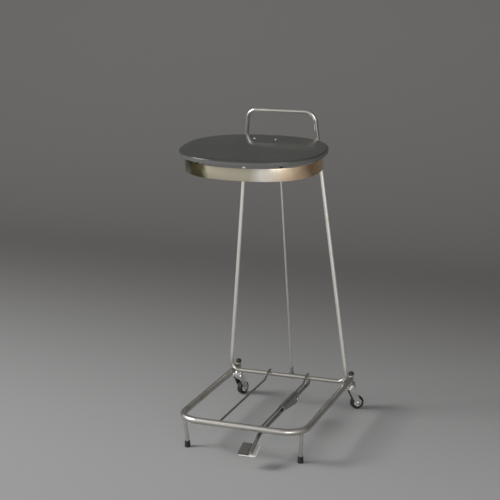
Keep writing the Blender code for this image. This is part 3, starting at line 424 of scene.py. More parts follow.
def frame_steel():
    """Brushed steel with its lines along the rod, smoother on the rear rail and the handle. Its colour has painted
    light: bright uprights, and painted shade on the rear rail and the handle, darker on its legs than its bar."""
    place = new_finish("frame_steel")
    lines = place.along().stretched(30, 2600, 1).noise(1.0, 3.0)
    smears = place.noise(26.0, 4.0).between(0.42, 0.75)
    height = place.axis("Z")
    # Painted light: the colour is painted darker as shade below about 0.11 m, on the rear rail and its bends, and
    # above about 0.8 m, on the handle, its legs darkest; the uprights between get a bright tone as painted
    # brightness.
    rail_shade = 1 - height.between(0.11, 0.16)
    handle_shade = height.between(0.79, 0.82)
    bright_tone = (0.6 * smears).tint((0.90, 0.875, 0.825), (0.70, 0.675, 0.62))
    rail_shaded_tone = (0.6 * smears).tint((0.54, 0.52, 0.48), (0.42, 0.40, 0.36))
    handle_shaded_tone = (0.6 * smears).tint((0.40, 0.385, 0.355), (0.32, 0.305, 0.28))
    handle_shaded_tone = height.between(0.865, 0.892).tint(handle_shaded_tone, (0.60, 0.58, 0.54))
    return place.paint(lines, 0.000008, Base_Color=handle_shade.tint(rail_shade.tint(bright_tone, rail_shaded_tone), handle_shaded_tone), Metallic=1.0,
                       Roughness=0.42 + 0.12 * (lines - 0.5) + 0.08 * smears - 0.08 * rail_shade - 0.13 * handle_shade)


brushed_steel = steel("brushed_steel", (0.76, 0.735, 0.69), (0.58, 0.555, 0.505), 0.42)
frame_line = rounded([on_frame(-foot_x, 0), on_frame(foot_x, 0), on_frame(handle_x, frame_length),
                      on_frame(-handle_x, frame_length)],
                     [foot_bend, foot_bend, handle_bend, handle_bend], closed=True, steps=24)
piece("back_frame_skin", [carried(frame_line, circle(frame_radius, 36), off_frame, closed=True)],
      frame_steel(), "stand", "rail_steel", "back_frame")
ring = circle(1.0) @ np.array([(0, 0.0045, 0), (0, 0, 0.0072)])
for side, sign in SIDES.items():
    touch = on_frame(sign * (foot_x - 0.0089), 0.0105)
    piece("back_frame_weld_" + side, [bead(touch + ring, 0.0014, (1, 0, 0))], welds, "stand", "rail_steel")


# Sack support rods
# Two thin rods from the back of the front rail, cranked up at the rear so that they lie on the rear rail, and
# welded at both ends. The sack stands on them. Their steel is painted darker than the base tube's, as shade.

# Painted shade: a darker copy of the steel, used also for the pedal lever and the lid rivets.
thin_steel = steel("steel_painted_darker", (0.40, 0.385, 0.365), (0.24, 0.23, 0.21), 0.30)
rod_radius, rod_x, crank_run = 0.003, 0.059, 0.034
for side, sign in SIDES.items():
    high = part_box("support_rod_" + side)[1]
    x, top = mid_x + sign * rod_x, high.z - rod_radius
    rise_end = rear_rail[1] - frame_radius
    line = rounded([(x, front_y, rail_z), (x, rise_end - crank_run, rail_z), (x, rise_end, top), (x, high.y, top)],
                   0.016)
    piece("support_rod_%s_skin" % side, [carried(line, circle(rod_radius, 24), (1, 0, 0), edge=0.0006)],
          thin_steel, "stand", "rail_steel", "support_rod_" + side)
    front = weld_round((x, front_y, rail_z), (1, 0, 0), (0, 1, 0), rail_radius, rod_radius, 0.0011)
    ring = circle(0.0034) @ np.array([(1.0, 0, 0), (0, 1.0, 0)])
    rear = bead(np.array([x, rear_rail[1], top - rod_radius]) + ring, 0.0012, (0, 0, 1))
    piece("support_rod_%s_weld" % side, [front, rear], welds, "stand", "rail_steel")


# Castor sleeves, caps and stems
# A short steel tube welded upright on the end of each side rail takes the castor's stem. A pressed-in black
# plastic cap closes it, and the stem's flange bears on its lower end.

def plastic(name, colour, worn, roughness):
    """Moulded plastic: a slight orange-peel skin, with worn and dusty patches and rubbed edges."""
    place = new_finish(name)
    skin = place.noise(900.0, 2.0)
    patches = place.noise(90.0, 4.0).between(0.4, 0.8)
    return place.paint(skin, 0.00008, Base_Color=(0.7 * patches + 0.3 * place.worn()).tint(colour, worn),
                       Roughness=roughness + 0.15 * patches + 0.08 * skin)


def keep_solid(node, finish):
    """A solid that is shown as it is, in a finish of this file."""
    materials = frame["nodes"][node].data.materials
    materials.clear()
    materials.append(finish)


black_plastic = plastic("black_plastic", (0.020, 0.020, 0.019), (0.055, 0.053, 0.050), 0.32)
fitting_steel = steel("fitting_steel", (0.62, 0.61, 0.585), (0.42, 0.405, 0.38), 0.24)
sleeve_radius, sleeve_wall = 0.007, 0.0017
for side in SIDES:
    low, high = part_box("castor_sleeve_" + side)
    axis_x, axis_y = (low.x + high.x) / 2, (low.y + high.y) / 2
    tube = [(sleeve_radius, high.z), (sleeve_radius, low.z),
            (sleeve_radius - sleeve_wall, low.z), (sleeve_radius - sleeve_wall, high.z)]
    piece("castor_sleeve_%s_skin" % side, [turned(tube, (axis_x, axis_y, 0), edge=0.0005, closed=True)],
          fitting_steel, "stand", "fitting_steel", "castor_sleeve_" + side)
    swing = np.linspace(-np.pi / 3, np.pi / 3, 16)
    rise = np.sqrt(rail_radius ** 2 - (sleeve_radius * np.sin(swing)) ** 2)
    swing = np.concatenate([swing, swing[::-1], swing[:1]])
    rise = np.concatenate([rise, -rise[::-1], rise[:1]])
    line = np.stack([axis_x + sleeve_radius * np.sin(swing), axis_y - sleeve_radius * np.cos(swing),
                     rail_z + rise], axis=1)
    piece("castor_sleeve_%s_weld" % side, [bead(line, 0.0011, (0, 1, 0.2))], welds, "stand", "rail_steel")
    low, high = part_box("castor_cap_" + side)
    wide, tall = (high.x - low.x) / 2, high.z - low.z
    cap = [(0, high.z), (wide * 0.55, high.z - tall * 0.03), (wide * 0.97, high.z - tall * 0.3),
           (wide, low.z + tall * 0.3), (wide * 0.93, low.z + tall * 0.22), (wide * 0.93, low.z), (0, low.z)]
    piece("castor_cap_%s_skin" % side, [turned(cap, (axis_x, axis_y, 0), edge=0.0007)],
          black_plastic, "stand", "black_plastic", "castor_cap_" + side)
    keep_solid("castor_stem_" + side, fitting_steel)


# Castor forks and axles
# A bright pressed crown turns under the stem's flange, with two flat cheeks down to the wheel. A domed axle
# rivet goes through both cheeks.

def bright_plate(name):
    """Bright plated steel with faint smears and a few dull specks."""
    place = new_finish(name)
    smears = place.noise(60.0, 4.0)
    specks = place.noise(700.0, 2.0).between(0.66, 0.72)
    return place.paint(smears, 0.00004, Base_Color=specks.tint((0.84, 0.83, 0.80), (0.42, 0.39, 0.34)),
                       Roughness=0.12 + 0.14 * smears.between(0.4, 0.8) + 0.25 * specks, Metallic=1.0)


def plate(outline, thickness, origin, right, up, edge):
    """A flat plate: its outline set in by the edge, then out to full size, through the thickness and back, and
    closed to its middle on both faces."""
    origin, right, up = (np.asarray(v, float) for v in (origin, right, up))
    run = unit(np.roll(outline[:-1], -1, axis=0) - np.roll(outline[:-1], 1, axis=0))
    outward = np.stack([run[:, 1], -run[:, 0]], axis=1)
    outward = np.concatenate([outward, outward[:1]])
    ease = np.linspace(0, np.pi / 2, 4)
    inset = np.concatenate([edge * (1 - np.sin(ease)), edge * (1 - np.sin(ease[::-1]))])
    height = np.concatenate([edge * (1 - np.cos(ease)), thickness - edge * (1 - np.cos(ease[::-1]))])
    rows = outline - inset[:, None, None] * outward
    middle = np.broadcast_to(outline[:-1].mean(axis=0), outline.shape)[None]
    rows = np.concatenate([middle, rows, middle])
    height = np.concatenate([[0], height, [thickness]]) - thickness / 2
    flat = origin + rows[..., :1] * right + rows[..., 1:] * up
    return flat + height[:, None, None] * np.cross(right, up)


def link(first, first_radius, second, second_radius):
    """The outline of two discs and the straight edges that touch both, anticlockwise."""
    first, second = np.asarray(first, float), np.asarray(second, float)
    across = second - first
    heading = math.atan2(across[1], across[0])
    spread = math.acos((first_radius - second_radius) / np.linalg.norm(across))
    a = np.linspace(heading + spread, heading - spread + 2 * np.pi, 28)
    b = np.linspace(heading - spread, heading + spread, 22)
    points = np.concatenate([first + first_radius * np.stack([np.cos(a), np.sin(a)], axis=1),
                             second + second_radius * np.stack([np.cos(b), np.sin(b)], axis=1)])
    return np.concatenate([points, points[:1]])


bright_steel = bright_plate("bright_plated_steel")
castor_yaw = {"left": math.radians(20), "right": math.radians(50)}
castor_trail, wheel_radius, fork_sheet, fork_offset = 0.020, 0.020, 0.002, 0.013
straight_up = np.array([0.0, 0.0, 1.0])
for side in SIDES:
    low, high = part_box("castor_sleeve_" + side)
    swivel = np.array([(low.x + high.x) / 2, (low.y + high.y) / 2, 0.0])
    turn = castor_yaw[side]
    axle_line = np.array([math.cos(turn), -math.sin(turn), 0.0])
    trail_line = np.array([math.sin(turn), math.cos(turn), 0.0])
    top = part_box("castor_fork_" + side)[1].z
    crown = [(0.0045, top), (0.0080, top), (0.0118, top - 0.0018), (0.0143, top - 0.0070), (0.0155, top - 0.0170),
             (0.0135, top - 0.0170), (0.0124, top - 0.0080), (0.0105, top - 0.0038), (0.0078, top - 0.0020),
             (0.0045, top - 0.0020)]
    grids = [turned(crown, swivel, edge=0.0009, closed=True, sides=48)]
    outline = link((0, top - 0.018), 0.010, (castor_trail, wheel_radius), 0.0075)
    for hand in (-1, 1):
        cheek = swivel + hand * fork_offset * axle_line
        grids.append(plate(outline, fork_sheet, cheek, trail_line, straight_up, 0.0005))
    piece("castor_fork_%s_skin" % side, grids, bright_steel, "castor_" + side, "polished_steel",
          "castor_fork_" + side)
    hub_centre = swivel + castor_trail * trail_line + wheel_radius * straight_up
    axle = [(0, 0.0163), (0.0034, 0.0160), (0.0055, 0.0148), (0.0055, 0.0143), (0.003, 0.0143), (0.003, -0.0143),
            (0.0055, -0.0143), (0.0055, -0.0148), (0.0034, -0.0160), (0, -0.0163)]
    piece("castor_axle_%s_skin" % side, [turned(axle, hub_centre, axle_line, 0.0002)],
          fitting_steel, "castor_" + side, "fitting_steel", "castor_axle_" + side)


# Castor wheels
# A pale grey moulded hub with a dished face and a raised boss carries a black rubber tyre with a low crown.
# The tread is greyed by the floor.

def tread_rubber():
    """Tyre rubber: black walls and a tread scraped grey, with fine moulding lines round it."""
    place = new_finish("tyre_rubber")
    pores = place.noise(1300.0, 3.0)
    scuffs = place.along().stretched(900, 60, 1).noise(1.0, 3.0)
    patches = place.noise(150.0, 3.0).between(0.35, 0.75)
    return place.paint(pores + scuffs, 0.0001,
                       Base_Color=(0.6 * patches * scuffs).tint((0.008, 0.008, 0.009), (0.075, 0.072, 0.066)),
                       Roughness=0.5 + 0.22 * patches + 0.1 * pores, Specular_IOR_Level=0.4)


tyre_rubber = tread_rubber()
pale_plastic = plastic("pale_plastic", (0.68, 0.68, 0.655), (0.46, 0.45, 0.42), 0.33)
hub_radius, hub_half, wall = 0.0115, 0.010, 0.0085
for side in SIDES:
    low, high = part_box("castor_tyre_" + side)
    hub_centre = np.array([(low.x + high.x) / 2, (low.y + high.y) / 2, wheel_radius])
    axle_line = np.array([math.cos(castor_yaw[side]), -math.sin(castor_yaw[side]), 0.0])
    face = [(0.0033, hub_half), (0.0058, hub_half), (0.0066, hub_half - 0.0026), (0.0094, hub_half - 0.0030),
            (0.0103, hub_half - 0.0012), (hub_radius, hub_half - 0.0015)]
    hub = face + [(r, -h) for r, h in face[::-1]]
    piece("castor_hub_%s_skin" % side, [turned(hub, hub_centre, axle_line, 0.0004, closed=True, sides=48)],
          pale_plastic, "wheel_" + side, "pale_plastic", "castor_hub_" + side)
    tyre = [(hub_radius + 0.0003, wall - 0.0006), (0.0135, wall), (0.0165, wall), (0.0196, wall - 0.0026),
            (wheel_radius, 0.0022), (wheel_radius, -0.0022), (0.0196, 0.0026 - wall), (0.0165, -wall),
            (0.0135, -wall), (hub_radius + 0.0003, 0.0006 - wall)]
    piece("castor_tyre_%s_skin" % side, [turned(tyre, hub_centre, axle_line, 0.0006, closed=True, sides=64)],
          tyre_rubber, "wheel_" + side, "tyre_rubber", "castor_tyre_" + side)


# Sack hoop
# A polished steel band bent to an oval and butt-welded at the back. It stands square to the leaning frame, and
# the sack's mouth is folded over it. Use has left its right end golden, and its left half is painted a warm
# grey as a darker reflection.

hoop_half, oval_power = (0.182, 0.133), 2.4
band_height, band_thickness = 0.034, 0.002
low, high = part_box("sack_hoop")
head = np.array([mid_x, low.y + hoop_half[1] * math.cos(lean), high.z - hoop_half[1] * math.sin(lean)])


def on_head(points):
    """Points given across, back and up from the hoop's middle, in its own leaning frame."""
    return head + np.asarray(points, float) @ np.array([(1.0, 0, 0), off_frame, up_frame])


def oval(half_x, half_y, count=240, power=oval_power):
    """A superellipse, |x/a|^p + |y/b|^p = 1, with its points evenly spaced round it."""
    angle = np.linspace(0, 2 * np.pi, 6001)
    line = np.stack([half_x * np.sign(np.cos(angle)) * np.abs(np.cos(angle)) ** (2 / power),
                     half_y * np.sign(np.sin(angle)) * np.abs(np.sin(angle)) ** (2 / power)], axis=1)
    length = np.append(0, np.linalg.norm(np.diff(line, axis=0), axis=1).cumsum())
    even = np.linspace(0, length[-1], count + 1)
    return np.stack([np.interp(even, length, line[:, 0]), np.interp(even, length, line[:, 1])], axis=1)


def polished_band():
    """Mirror-polished steel with fine buffing lines round the band and finger smears: golden tarnish towards the
    right end, a left half painted warm grey as a darker reflection, a dark olive patch near that half's end, and
    an inner face, rougher, painted dark grey as the shade under the lid."""
    place = new_finish("polished_band")
    along = place.along()
    lines = along.stretched(18, 2400, 1).noise(1.0, 3.0)
    smears = place.noise(32.0, 4.0).between(0.4, 0.72)
    streaks = place.stretched(70, 20, 12).noise(1.0, 2.0).between(0.35, 0.7)
    right_end = (place.axis("X") - mid_x).between(0.05, 0.165) * (0.7 + 0.3 * streaks)
    # Painted reflection: the left half is painted a darker warm grey for the darker surroundings it would mirror.
    off_left = mid_x - place.axis("X")
    ragged = off_left + 0.03 * (place.noise(38.0, 4.0) - 0.5)
    left_shade = ragged.between(-0.075, -0.03)
    olive_patch = ragged.between(0.074, 0.100) * (1 - ragged.between(0.134, 0.158))
    olive_patch = olive_patch * (1 - place.axis("Y").between(head[1] - 0.06, head[1] - 0.03))
    # Painted shade: the band's inner face is painted dark grey, as the shade under the lid.
    inner_face_shade = along.axis("Y").between(0.0345, 0.0365)
    bright_tone = smears.tint((0.95, 0.93, 0.86), (0.86, 0.83, 0.75))
    left_shaded_tone = (0.9 * left_shade).tint(bright_tone, (0.48, 0.43, 0.32))
    tarnished = (0.95 * olive_patch).tint(right_end.tint(left_shaded_tone, (0.98, 0.65, 0.34)), (0.075, 0.062, 0.022))
    return place.paint(lines, 0.00002, Base_Color=(0.8 * inner_face_shade).tint(tarnished, (0.10, 0.095, 0.085)),
                       Roughness=0.12 + 0.10 * smears + 0.08 * (lines - 0.5) + 0.10 * right_end + 0.25 * inner_face_shade,
                       Metallic=1.0)


band_steel = polished_band()
half_h, half_t = band_height / 2, band_thickness / 2
middle_line = oval(hoop_half[0] - half_t, hoop_half[1] - half_t)
middle_line = np.concatenate([middle_line, np.full((len(middle_line), 1), -half_h)], axis=1)
section = rounded([(half_h, half_t), (-half_h, half_t), (-half_h, -half_t), (half_h, -half_t)], 0.0007, True, 5)
piece("sack_hoop_skin", [carried(on_head(middle_line), section, up_frame, closed=True)],
      band_steel, "stand", "polished_steel", "sack_hoop")


# Hoop arms
# Two short brushed steel rods that carry the hoop. Each is welded to the hoop's back and to the front of an
# upright.

arm_radius, arm_up = 0.005, -0.025
frame_back = (rear_rail - head) @ off_frame
frame_up = (head - rear_rail) @ up_frame


def upright_x(up):
    """Half the distance between the uprights, at a height above the hoop's top edge."""
    return foot_x + (handle_x - foot_x) * (frame_up + up) / frame_length


def hoop_back(x):
    """How far behind the middle the hoop's outside is, x off the middle."""
    return hoop_half[1] * (1 - (np.abs(x) / hoop_half[0]) ** oval_power) ** (1 / oval_power)


angle = np.linspace(0, 2 * np.pi, 49)
for side, sign in SIDES.items():
    arm_x = sign * upright_x(arm_up)
    line = on_head([(arm_x, hoop_back(arm_x) - 0.001, arm_up), (arm_x, frame_back, arm_up)])
    piece("hoop_arm_%s_skin" % side, [carried(line, circle(arm_radius, 28), up_frame, edge=0.0004)],
          brushed_steel, "stand", "rail_steel", "hoop_arm_" + side)
    to_upright = weld_round(on_head((arm_x, frame_back, arm_up)), up_frame, -off_frame, frame_radius, arm_radius)
    reach = arm_x + arm_radius * np.cos(angle)
    ring = np.stack([reach, hoop_back(reach), arm_up + arm_radius * np.sin(angle)], axis=1)
    piece("hoop_arm_%s_weld" % side, [to_upright, bead(on_head(ring), 0.0011, off_frame)], welds, "stand",
          "rail_steel")


# Hinge rod
# A plain brushed steel rod welded across the fronts of both uprights, behind the hoop. The lid's straps are
# curled round it.

low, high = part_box("hinge_rod")
hinge_radius = (high.z - low.z) / 2
hinge = np.array([mid_x, (low.y + high.y) / 2, (low.z + high.z) / 2])
hinge_back, hinge_up = (hinge - head) @ off_frame, (hinge - head) @ up_frame
line = [(low.x, hinge[1], hinge[2]), (high.x, hinge[1], hinge[2])]
piece("hinge_rod_skin", [carried(line, circle(hinge_radius, 28), (0, 0, 1), edge=0.0008)],
      brushed_steel, "stand", "rail_steel", "hinge_rod")


# Lid
# A shallow moulded tray turned upside down, dark grey and glossy, with a rounded edge. Years of wiping have left
# fine scratches, and its turned-down edge below the top face is painted lighter as a highlight.

lid_half = (0.1955, 0.1465)
lid_top, lid_wall, lid_rim, lid_edge = 0.021, 0.003, 0.013, 0.004


def lid_gloss():
    """Glossy dark plastic: fine wiping scratches two ways, dust, worn edges and a painted highlight below its top
    face.
    """
    place = new_finish("lid_gloss")
    scratches = place.stretched(60, 900, 60).noise(1.0, 3.0).between(0.6, 0.8)
    crossed = place.stretched(1000, 70, 70).noise(1.0, 3.0).between(0.62, 0.8)
    dust = place.noise(14.0, 5.0).between(0.4, 0.75)
    waves = place.noise(22.0, 1.0)
    level = place.node("ShaderNodeVectorMath", {"operation": "DOT_PRODUCT"}, {0: place, 1: up_frame}, "Value")
    face = float(head @ up_frame) + lid_top
    # Painted highlight: the turned-down edge below the top face is painted lighter; rubbed adds the worn edges to
    # it.
    rim_highlight = (1 - level.between(face - 0.006, face - 0.001)) * level.between(face - 0.0135, face - 0.0105)
    colour = (0.5 * dust + 0.2 * scratches + 0.2 * crossed).tint((0.049, 0.051, 0.046), (0.073, 0.074, 0.068))
    rubbed = 0.75 * rim_highlight + 0.2 * place.worn()
    return place.paint(waves, 0.0005, Base_Color=rubbed.tint(colour, (0.135, 0.135, 0.127)),
                       Roughness=0.10 + 0.08 * dust + 0.08 * scratches + 0.08 * crossed + 0.15 * rim_highlight,
                       Specular_IOR_Level=0.4)


turn = np.linspace(0, np.pi / 2, 9)
inset = np.concatenate([[lid_wall, lid_wall, lid_wall - 0.0008, 0.0008, 0], lid_edge * (1 - np.cos(turn))])
height = np.concatenate([[-lid_wall, 0.0008 - lid_rim, -lid_rim, -lid_rim, 0.0008 - lid_rim],
                         lid_edge * (np.sin(turn) - 1)])
shrink = np.linspace(0.9, 0.0, 10)
rings = np.stack([oval(lid_half[0] - i, lid_half[1] - i) for i in inset])
rings = np.concatenate([rings[:1] * shrink[::-1, None, None], rings, rings[-1:] * shrink[:, None, None]])
height = np.concatenate([np.full(len(shrink), -lid_wall), height, 0.0006 * (1 - shrink ** 2)])
levels = np.broadcast_to((lid_top + height)[:, None, None], (*rings.shape[:2], 1))
piece("lid_skin", [on_head(np.concatenate([rings, levels], axis=2))], lid_gloss(), "lid_assembly", "lid_plastic",
      "lid")


# Lid rivets, straps and crank
# Two flat steel straps are riveted under the lid and curled round the hinge rod. A plate between them, also on the
# hinge rod, takes the push rod's pin in a slot.

strap_x, strap_half, strap_thickness = 0.030, 0.010, 0.003
lid_back = lid_half[1] - hinge_back
flat_up = -hinge_up + lid_top - lid_wall - 0.0003 - strap_thickness / 2
knee_up = -hinge_up + lid_top - lid_rim - 0.0003 - strap_thickness
curl = hinge_radius + 0.00035 + strap_thickness / 2
slope = math.atan2(-knee_up, -lid_back) + math.asin(curl / math.hypot(lid_back, knee_up))
swing = np.radians(np.linspace(0, -282, 40)) + slope + math.pi / 2
bend = rounded([(lid_back - 0.070, flat_up), (lid_back - 0.032, flat_up), (lid_back, knee_up),
                (curl * math.cos(swing[0]), curl * math.sin(swing[0]))], 0.008, steps=8)
side_view = np.concatenate([bend[:-1], curl * np.stack([np.cos(swing), np.sin(swing)], axis=1)])
half_t = strap_thickness / 2
section = rounded([(strap_half, half_t), (-strap_half, half_t), (-strap_half, -half_t), (strap_half, -half_t)],
                  0.0005, True, 5)
rivet_back = lid_half[1] - 0.050
for side, sign in SIDES.items():
    line = np.concatenate([np.full((len(side_view), 1), sign * strap_x),
                           side_view + (hinge_back, hinge_up)], axis=1)
    piece("lid_strap_%s_skin" % side, [carried(on_head(line), section, (1, 0, 0))], fitting_steel, "lid_assembly",
          "fitting_steel", "lid_strap_" + side)
    rivet = [(0, 0.0030), (0.0022, 0.0028), (0.0042, 0.0016), (0.0050, 0.0003), (0.0025, 0.0003),
             (0.0025, -0.0066), (0.0040, -0.0066), (0.0028, -0.0080), (0, -0.0081)]
    seat = on_head((sign * strap_x, rivet_back, lid_top))
    piece("lid_rivet_%s_skin" % side, [turned(rivet, seat, up_frame, 0.0003)],
          thin_steel, "lid_assembly", "fitting_steel", "lid_rivet_" + side)
keep_solid("lid_crank", fitting_steel)


# Lid buffers
# Two tapered black rubber buffers stuck under the lid. On them the lid comes to rest on the hoop's top
# edge.

buffer_turn = math.radians(55)
for side, sign in SIDES.items():
    spot = (sign * (hoop_half[0] - band_thickness / 2) * math.cos(buffer_turn) ** (2 / oval_power),
            (band_thickness / 2 - hoop_half[1]) * math.sin(buffer_turn) ** (2 / oval_power), 0)
    buffer = [(0, 0.0177), (0.0065, 0.0177), (0.0063, 0.0120), (0.0048, 0.0100), (0.0045, 0.0003), (0, 0.0003)]
    piece("lid_buffer_%s_skin" % side, [turned(buffer, on_head(spot), up_frame, 0.0008)],
          black_rubber, "lid_assembly", "black_rubber", "lid_buffer_" + side)


# Pivot bracket and pin
# A folded steel channel, blackened and by now worn grey, welded under the right support rod. The bright pin
# through its deep end, with a head and a nut, is what the pedal lever turns on.

def blackened():
    """Blackened steel gone grey, with rubbed patches, bare edges and a fine rough skin."""
    place = new_finish("blackened_steel")
    skin = place.noise(1100.0, 3.0)
    rubbed = place.noise(70.0, 4.0).between(0.5, 0.75)
    bare = 0.7 * rubbed + 0.5 * place.worn()
    return place.paint(skin, 0.0001, Base_Color=bare.tint((0.21, 0.21, 0.207), (0.40, 0.395, 0.38)),
                       Roughness=0.34 + 0.2 * skin, Metallic=0.3 + 0.5 * rubbed)


dark_steel = blackened()
low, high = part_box("pivot_bracket")
lever_x = (low.x + high.x) / 2
pivot = np.array([lever_x, high.y - 0.015, low.z + 0.010])
half, sheet, fold = (high.x - low.x) / 2, 0.002, 0.003
station = np.array([low.y, low.y + 0.0008, pivot[1] - 0.015, pivot[1] - 0.006, high.y - 0.0008, high.y])
depth = np.interp(station, [low.y, pivot[1] - 0.015, high.y], [0.011, high.z - low.z, high.z - low.z])


def channel(half_width, drop, radius):
    """Rows of a folded U: down, across and down again, its lower edges following the depth at each station."""
    fold_line = rounded([(-half_width, -1.0), (-half_width, 0.0), (half_width, 0.0), (half_width, -1.0)],
                        [0, radius, radius, 0], steps=8)
    share = np.clip(-fold_line[:, 1] - radius, 0, None) / (1 - radius)
    rise = np.maximum(fold_line[:, 1], -radius)
    z = high.z - drop + rise[None] - share[None] * (depth[:, None] - drop - radius)
    x = np.broadcast_to(lever_x + fold_line[:, 0], z.shape)
    return np.stack([x, np.broadcast_to(station[:, None], z.shape), z], axis=-1)


outer, inner = channel(half, 0.0, fold), channel(half - sheet, sheet, fold - sheet)
grids = [outer, inner] + [np.stack([outer[end], inner[end]]) for end in (0, -1)]
grids += [np.stack([outer[:, end], inner[:, end]], axis=1) for end in (0, -1)]
piece("pivot_bracket_skin", grids, dark_steel, "stand", "dark_fitting", "pivot_bracket")
pin = [(0, 0.0143), (0.0058, 0.0143), (0.0070, 0.0132), (0.0070, 0.0103), (0.0040, 0.0103), (0.0040, -0.0103),
       (0.0070, -0.0103), (0.0070, -0.0132), (0.0058, -0.0143), (0, -0.0143)]
piece("pivot_pin_skin", [turned(pin, pivot, (1, 0, 0), 0.0004)],
      bright_steel, "stand", "fitting_steel", "pivot_pin")
ring = circle(1.0) @ np.array([(0.0030, 0, 0), (0, 0.0050, 0)])
piece("pivot_bracket_weld", [bead(np.array([mid_x + rod_x, low.y + 0.005, high.z]) + ring, 0.0013, (0, 0, 1))],
      bright_steel, "stand", "dark_fitting")


# Pedal lever
# One bent steel rod: it slopes down to the foot plate in front, turns on the pivot pin through a welded boss, and
# ends at the rear in a cross pin for the push rod.

lever_radius = 0.005
low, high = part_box("pedal_lever")
tail = np.array([mid_x, high.y - lever_radius, high.z - lever_radius])
pedal_slope = math.radians(21)
bend = pivot - (0, 0.289, 0)
slope_back = np.array([0.0, math.cos(pedal_slope), math.sin(pedal_slope)])
slope_up = np.array([0.0, -math.sin(pedal_slope), math.cos(pedal_slope)])


def on_slope(points):
    """Points given across, back and up from the lever's front bend, along its sloping end."""
    return bend + np.asarray(points, float) @ np.array([(1.0, 0, 0), slope_back, slope_up])


lever_line = rounded([on_slope((0, -0.078, 0)), bend, (lever_x, tail[1] - 0.020, pivot[2]),
                      (lever_x, tail[1], tail[2]), (low.x, tail[1], tail[2])], [0, 0.030, 0.012, 0.012, 0])
boss = [(0.0043, 0.0075), (0.0090, 0.0075), (0.0090, -0.0075), (0.0043, -0.0075)]
piece("pedal_lever_skin", [carried(lever_line, circle(lever_radius, 28), (0.3, -0.5, 0.8), edge=0.0009),
                           turned(boss, pivot, (1, 0, 0), 0.0006, closed=True)],
      thin_steel, "pedal", "rail_steel", "pedal_lever")


# Pedal plate and pad
# A flat steel plate welded under the lever's sloping end. A rubber pad with cross ribs, worn from black to
# grey, is stuck on its left side, and the bare steel on the right is rubbed bright by shoes.

def rubbed_plate():
    """Steel marked by shoes: short scratches across it and bright rubbed patches."""
    place = new_finish("rubbed_plate")
    scuffs = place.stretched(1400, 120, 120).noise(1.0, 3.0)
    worn = place.noise(70.0, 3.0).between(0.35, 0.65)
    return place.paint(scuffs, 0.00008, Base_Color=worn.tint((0.84, 0.82, 0.79), (0.94, 0.93, 0.90)),
                       Roughness=0.52 + 0.22 * scuffs, Metallic=1.0)


plate_left, plate_right, plate_front, plate_back, plate_thickness = -0.036, 0.016, -0.083, -0.037, 0.003
plate_level = -lever_radius - 0.0003
shoe_steel = rubbed_plate()
worn_rubber = rubber("worn_rubber", (0.068, 0.068, 0.061), (0.15, 0.145, 0.13), 1500.0)
outline = rounded([(plate_left, plate_front), (plate_right, plate_front), (plate_right, plate_back),
                   (plate_left, plate_back)], 0.008, True, 10)
piece("pedal_plate_skin", [plate(outline, plate_thickness, on_slope((0, 0, plate_level - plate_thickness / 2)),
                                 (1, 0, 0), slope_back, 0.0009)],
      shoe_steel, "pedal", "fitting_steel", "pedal_plate")
seam = rounded([(-0.0026, -0.077), (0.0026, -0.077), (0.0026, -0.041), (-0.0026, -0.041)], 0.0025, True, 8)
seam = np.concatenate([seam, np.full((len(seam), 1), plate_level + 0.0006)], axis=1)
piece("pedal_plate_weld", [bead(on_slope(seam), 0.0011, slope_up)], welds, "pedal", "rail_steel")
across, back = np.meshgrid(np.linspace(-1, 1, 41), np.linspace(-1, 1, 121), indexing="ij")
swell = (1 - np.abs(across) ** 14) ** (1 / 6) * (1 - np.abs(back) ** 20) ** (1 / 6)
ribs = 0.0011 * np.clip(1.6 * np.cos(back * np.pi * 6), -1, 1) * (1 - across ** 8) * (1 - back ** 12)
margin, pad_thickness = 0.0015, 0.006
pad_right = -lever_radius - margin
pad_x = plate_left + margin + (pad_right - plate_left - margin) * (across + 1) / 2
pad_y = plate_front + margin + (plate_back - plate_front - 2 * margin) * (back + 1) / 2
pad_foot = -lever_radius
pad_top = pad_foot + (pad_thickness - 0.0011 + ribs) * swell
piece("pedal_pad_skin", [on_slope(np.stack([pad_x, pad_y, pad_top], axis=-1)),
                         on_slope(np.stack([pad_x, pad_y, np.full_like(pad_x, pad_foot)], axis=-1))],
      worn_rubber, "pedal", "black_rubber", "pedal_pad", crease=60)


# Push rod and its ends
# A thin steel rod bent over at the top into the pin that lifts the lid. At the bottom it is fixed in a dark eye
# end on the lever's cross pin, and a spring clip keeps each pin in place.

crank_angle, crank_reach = math.radians(30), 0.0147
pin_point = on_head((0.0, hinge_back - crank_reach * math.cos(crank_angle),
                     hinge_up - crank_reach * math.sin(crank_angle)))
rise = unit(pin_point - tail)
push_radius = 0.003
line = rounded([tail + 0.0143 * rise, pin_point, pin_point + (0.018, 0, 0)], 0.007)
piece("push_rod_skin", [carried(line, circle(push_radius, 24), np.cross(rise, (1.0, 0, 0)), edge=0.0006)],
      brushed_steel, "push_rod_assembly", "rail_steel", "push_rod")
eye = [(0.0054, 0.005), (0.0094, 0.005), (0.0094, -0.005), (0.0054, -0.005)]
shank = [(0, 0.014), (0.0033, 0.014), (0.0033, 0.028), (0.0050, 0.028), (0.0050, 0.0075), (0, 0.0075)]
piece("push_rod_end_skin", [turned(eye, tail, (1, 0, 0), 0.0008, closed=True), turned(shank, tail, rise, 0.0006)],
      dark_steel, "push_rod_assembly", "dark_fitting", "push_rod_end")
for node in ("upper_clip", "lower_clip"):
    keep_solid(node, dark_steel)


# Studio
# A sweep of paper, pale underfoot and darker grey where it rises into the backdrop. A soft lamp stands at the left
# front and a weaker, low one at the right front, under a sky that is lighter in front than overhead.

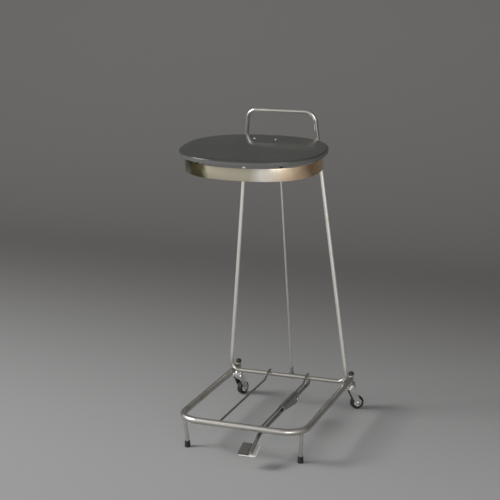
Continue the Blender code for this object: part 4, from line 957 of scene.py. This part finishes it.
def paper():
    """Matt paper with a barely seen mottle, pale near the object and darker towards the back."""
    place = new_finish("studio_paper")
    mottle = place.noise(3.0, 3.0)
    back = place.axis("Y")
    front = mottle.tint((0.68, 0.68, 0.68), (0.72, 0.72, 0.72))
    near = back.between(-1.8, -0.6).tint(front, (0.40, 0.40, 0.40))
    return place.paint(mottle, 0.0002, Base_Color=back.between(-0.5, 1.9).tint(near, (0.165, 0.16, 0.155)),
                       Roughness=0.85, Specular_IOR_Level=0.2)


sweep = rounded([(-7.0, 0.0), (3.6, 0.0), (3.6, 7.0)], [0, 1.6, 0], steps=30)
across = np.linspace(-16.0, 16.0, 2)
rows = np.stack(np.broadcast_arrays(across[None], sweep[:, :1], sweep[:, 1:]), axis=-1)
index = np.arange(rows.shape[0] * 2).reshape(-1, 2)
quads = np.stack([index[:-1, 0], index[:-1, 1], index[1:, 1], index[1:, 0]], axis=-1)
floor_mesh = bpy.data.meshes.new("paper_sweep")
floor_mesh.from_pydata(rows.reshape(-1, 3).tolist(), [], quads.tolist())
floor_mesh.shade_smooth()
floor_mesh.materials.append(paper())
floor = bpy.data.objects.new("paper_sweep", floor_mesh)
bpy.context.scene.collection.objects.link(floor)


def lamp(name, place, size, watts):
    """A square soft lamp at a place, turned to the middle of the holder."""
    data = bpy.data.lights.new(name, "AREA")
    data.size, data.energy, data.spread = size, watts, math.radians(120)
    made = bpy.data.objects.new(name, data)
    made.location = place
    made.rotation_euler = (Vector((0, 0, 0.4)) - made.location).to_track_quat("-Z", "Y").to_euler()
    bpy.context.scene.collection.objects.link(made)


lamp("left_lamp", (-5.6, -2.8, 4.4), 2.6, 165)
lamp("right_lamp", (2.4, -4.6, 1.5), 2.4, 34)
sky = bpy.data.worlds.new("soft_sky")
sky.use_nodes = True
direction = Shade(sky).node("ShaderNodeTexCoord", {}, {}, "Generated")
front = (0 - direction.axis("Y")).between(-0.3, 0.7) * (1 - direction.axis("Z").between(0.05, 0.75))
glow = front.tint((0.28, 0.28, 0.28), (0.90, 0.90, 0.90))
sky.node_tree.links.new(glow.socket, sky.node_tree.nodes["Background"].inputs["Color"])
bpy.context.scene.world = sky
bpy.context.scene.view_settings.view_transform = "Standard"


# Camera
# It stands at the photograph's viewing angle, to the right of the pedal and looking slightly down. Its place
# and lens were fitted to the straight rods, the feet and the handle.

camera_data = bpy.data.cameras.new("camera")
camera_data.lens = 88.7
camera_data.sensor_width = 36.0
camera = bpy.data.objects.new("camera", camera_data)
camera.location = (1.0824, -3.1019, 1.2899)
camera.rotation_euler = (math.radians(90 - 13.10), 0, math.radians(20.18))
bpy.context.scene.collection.objects.link(camera)
bpy.context.scene.camera = camera
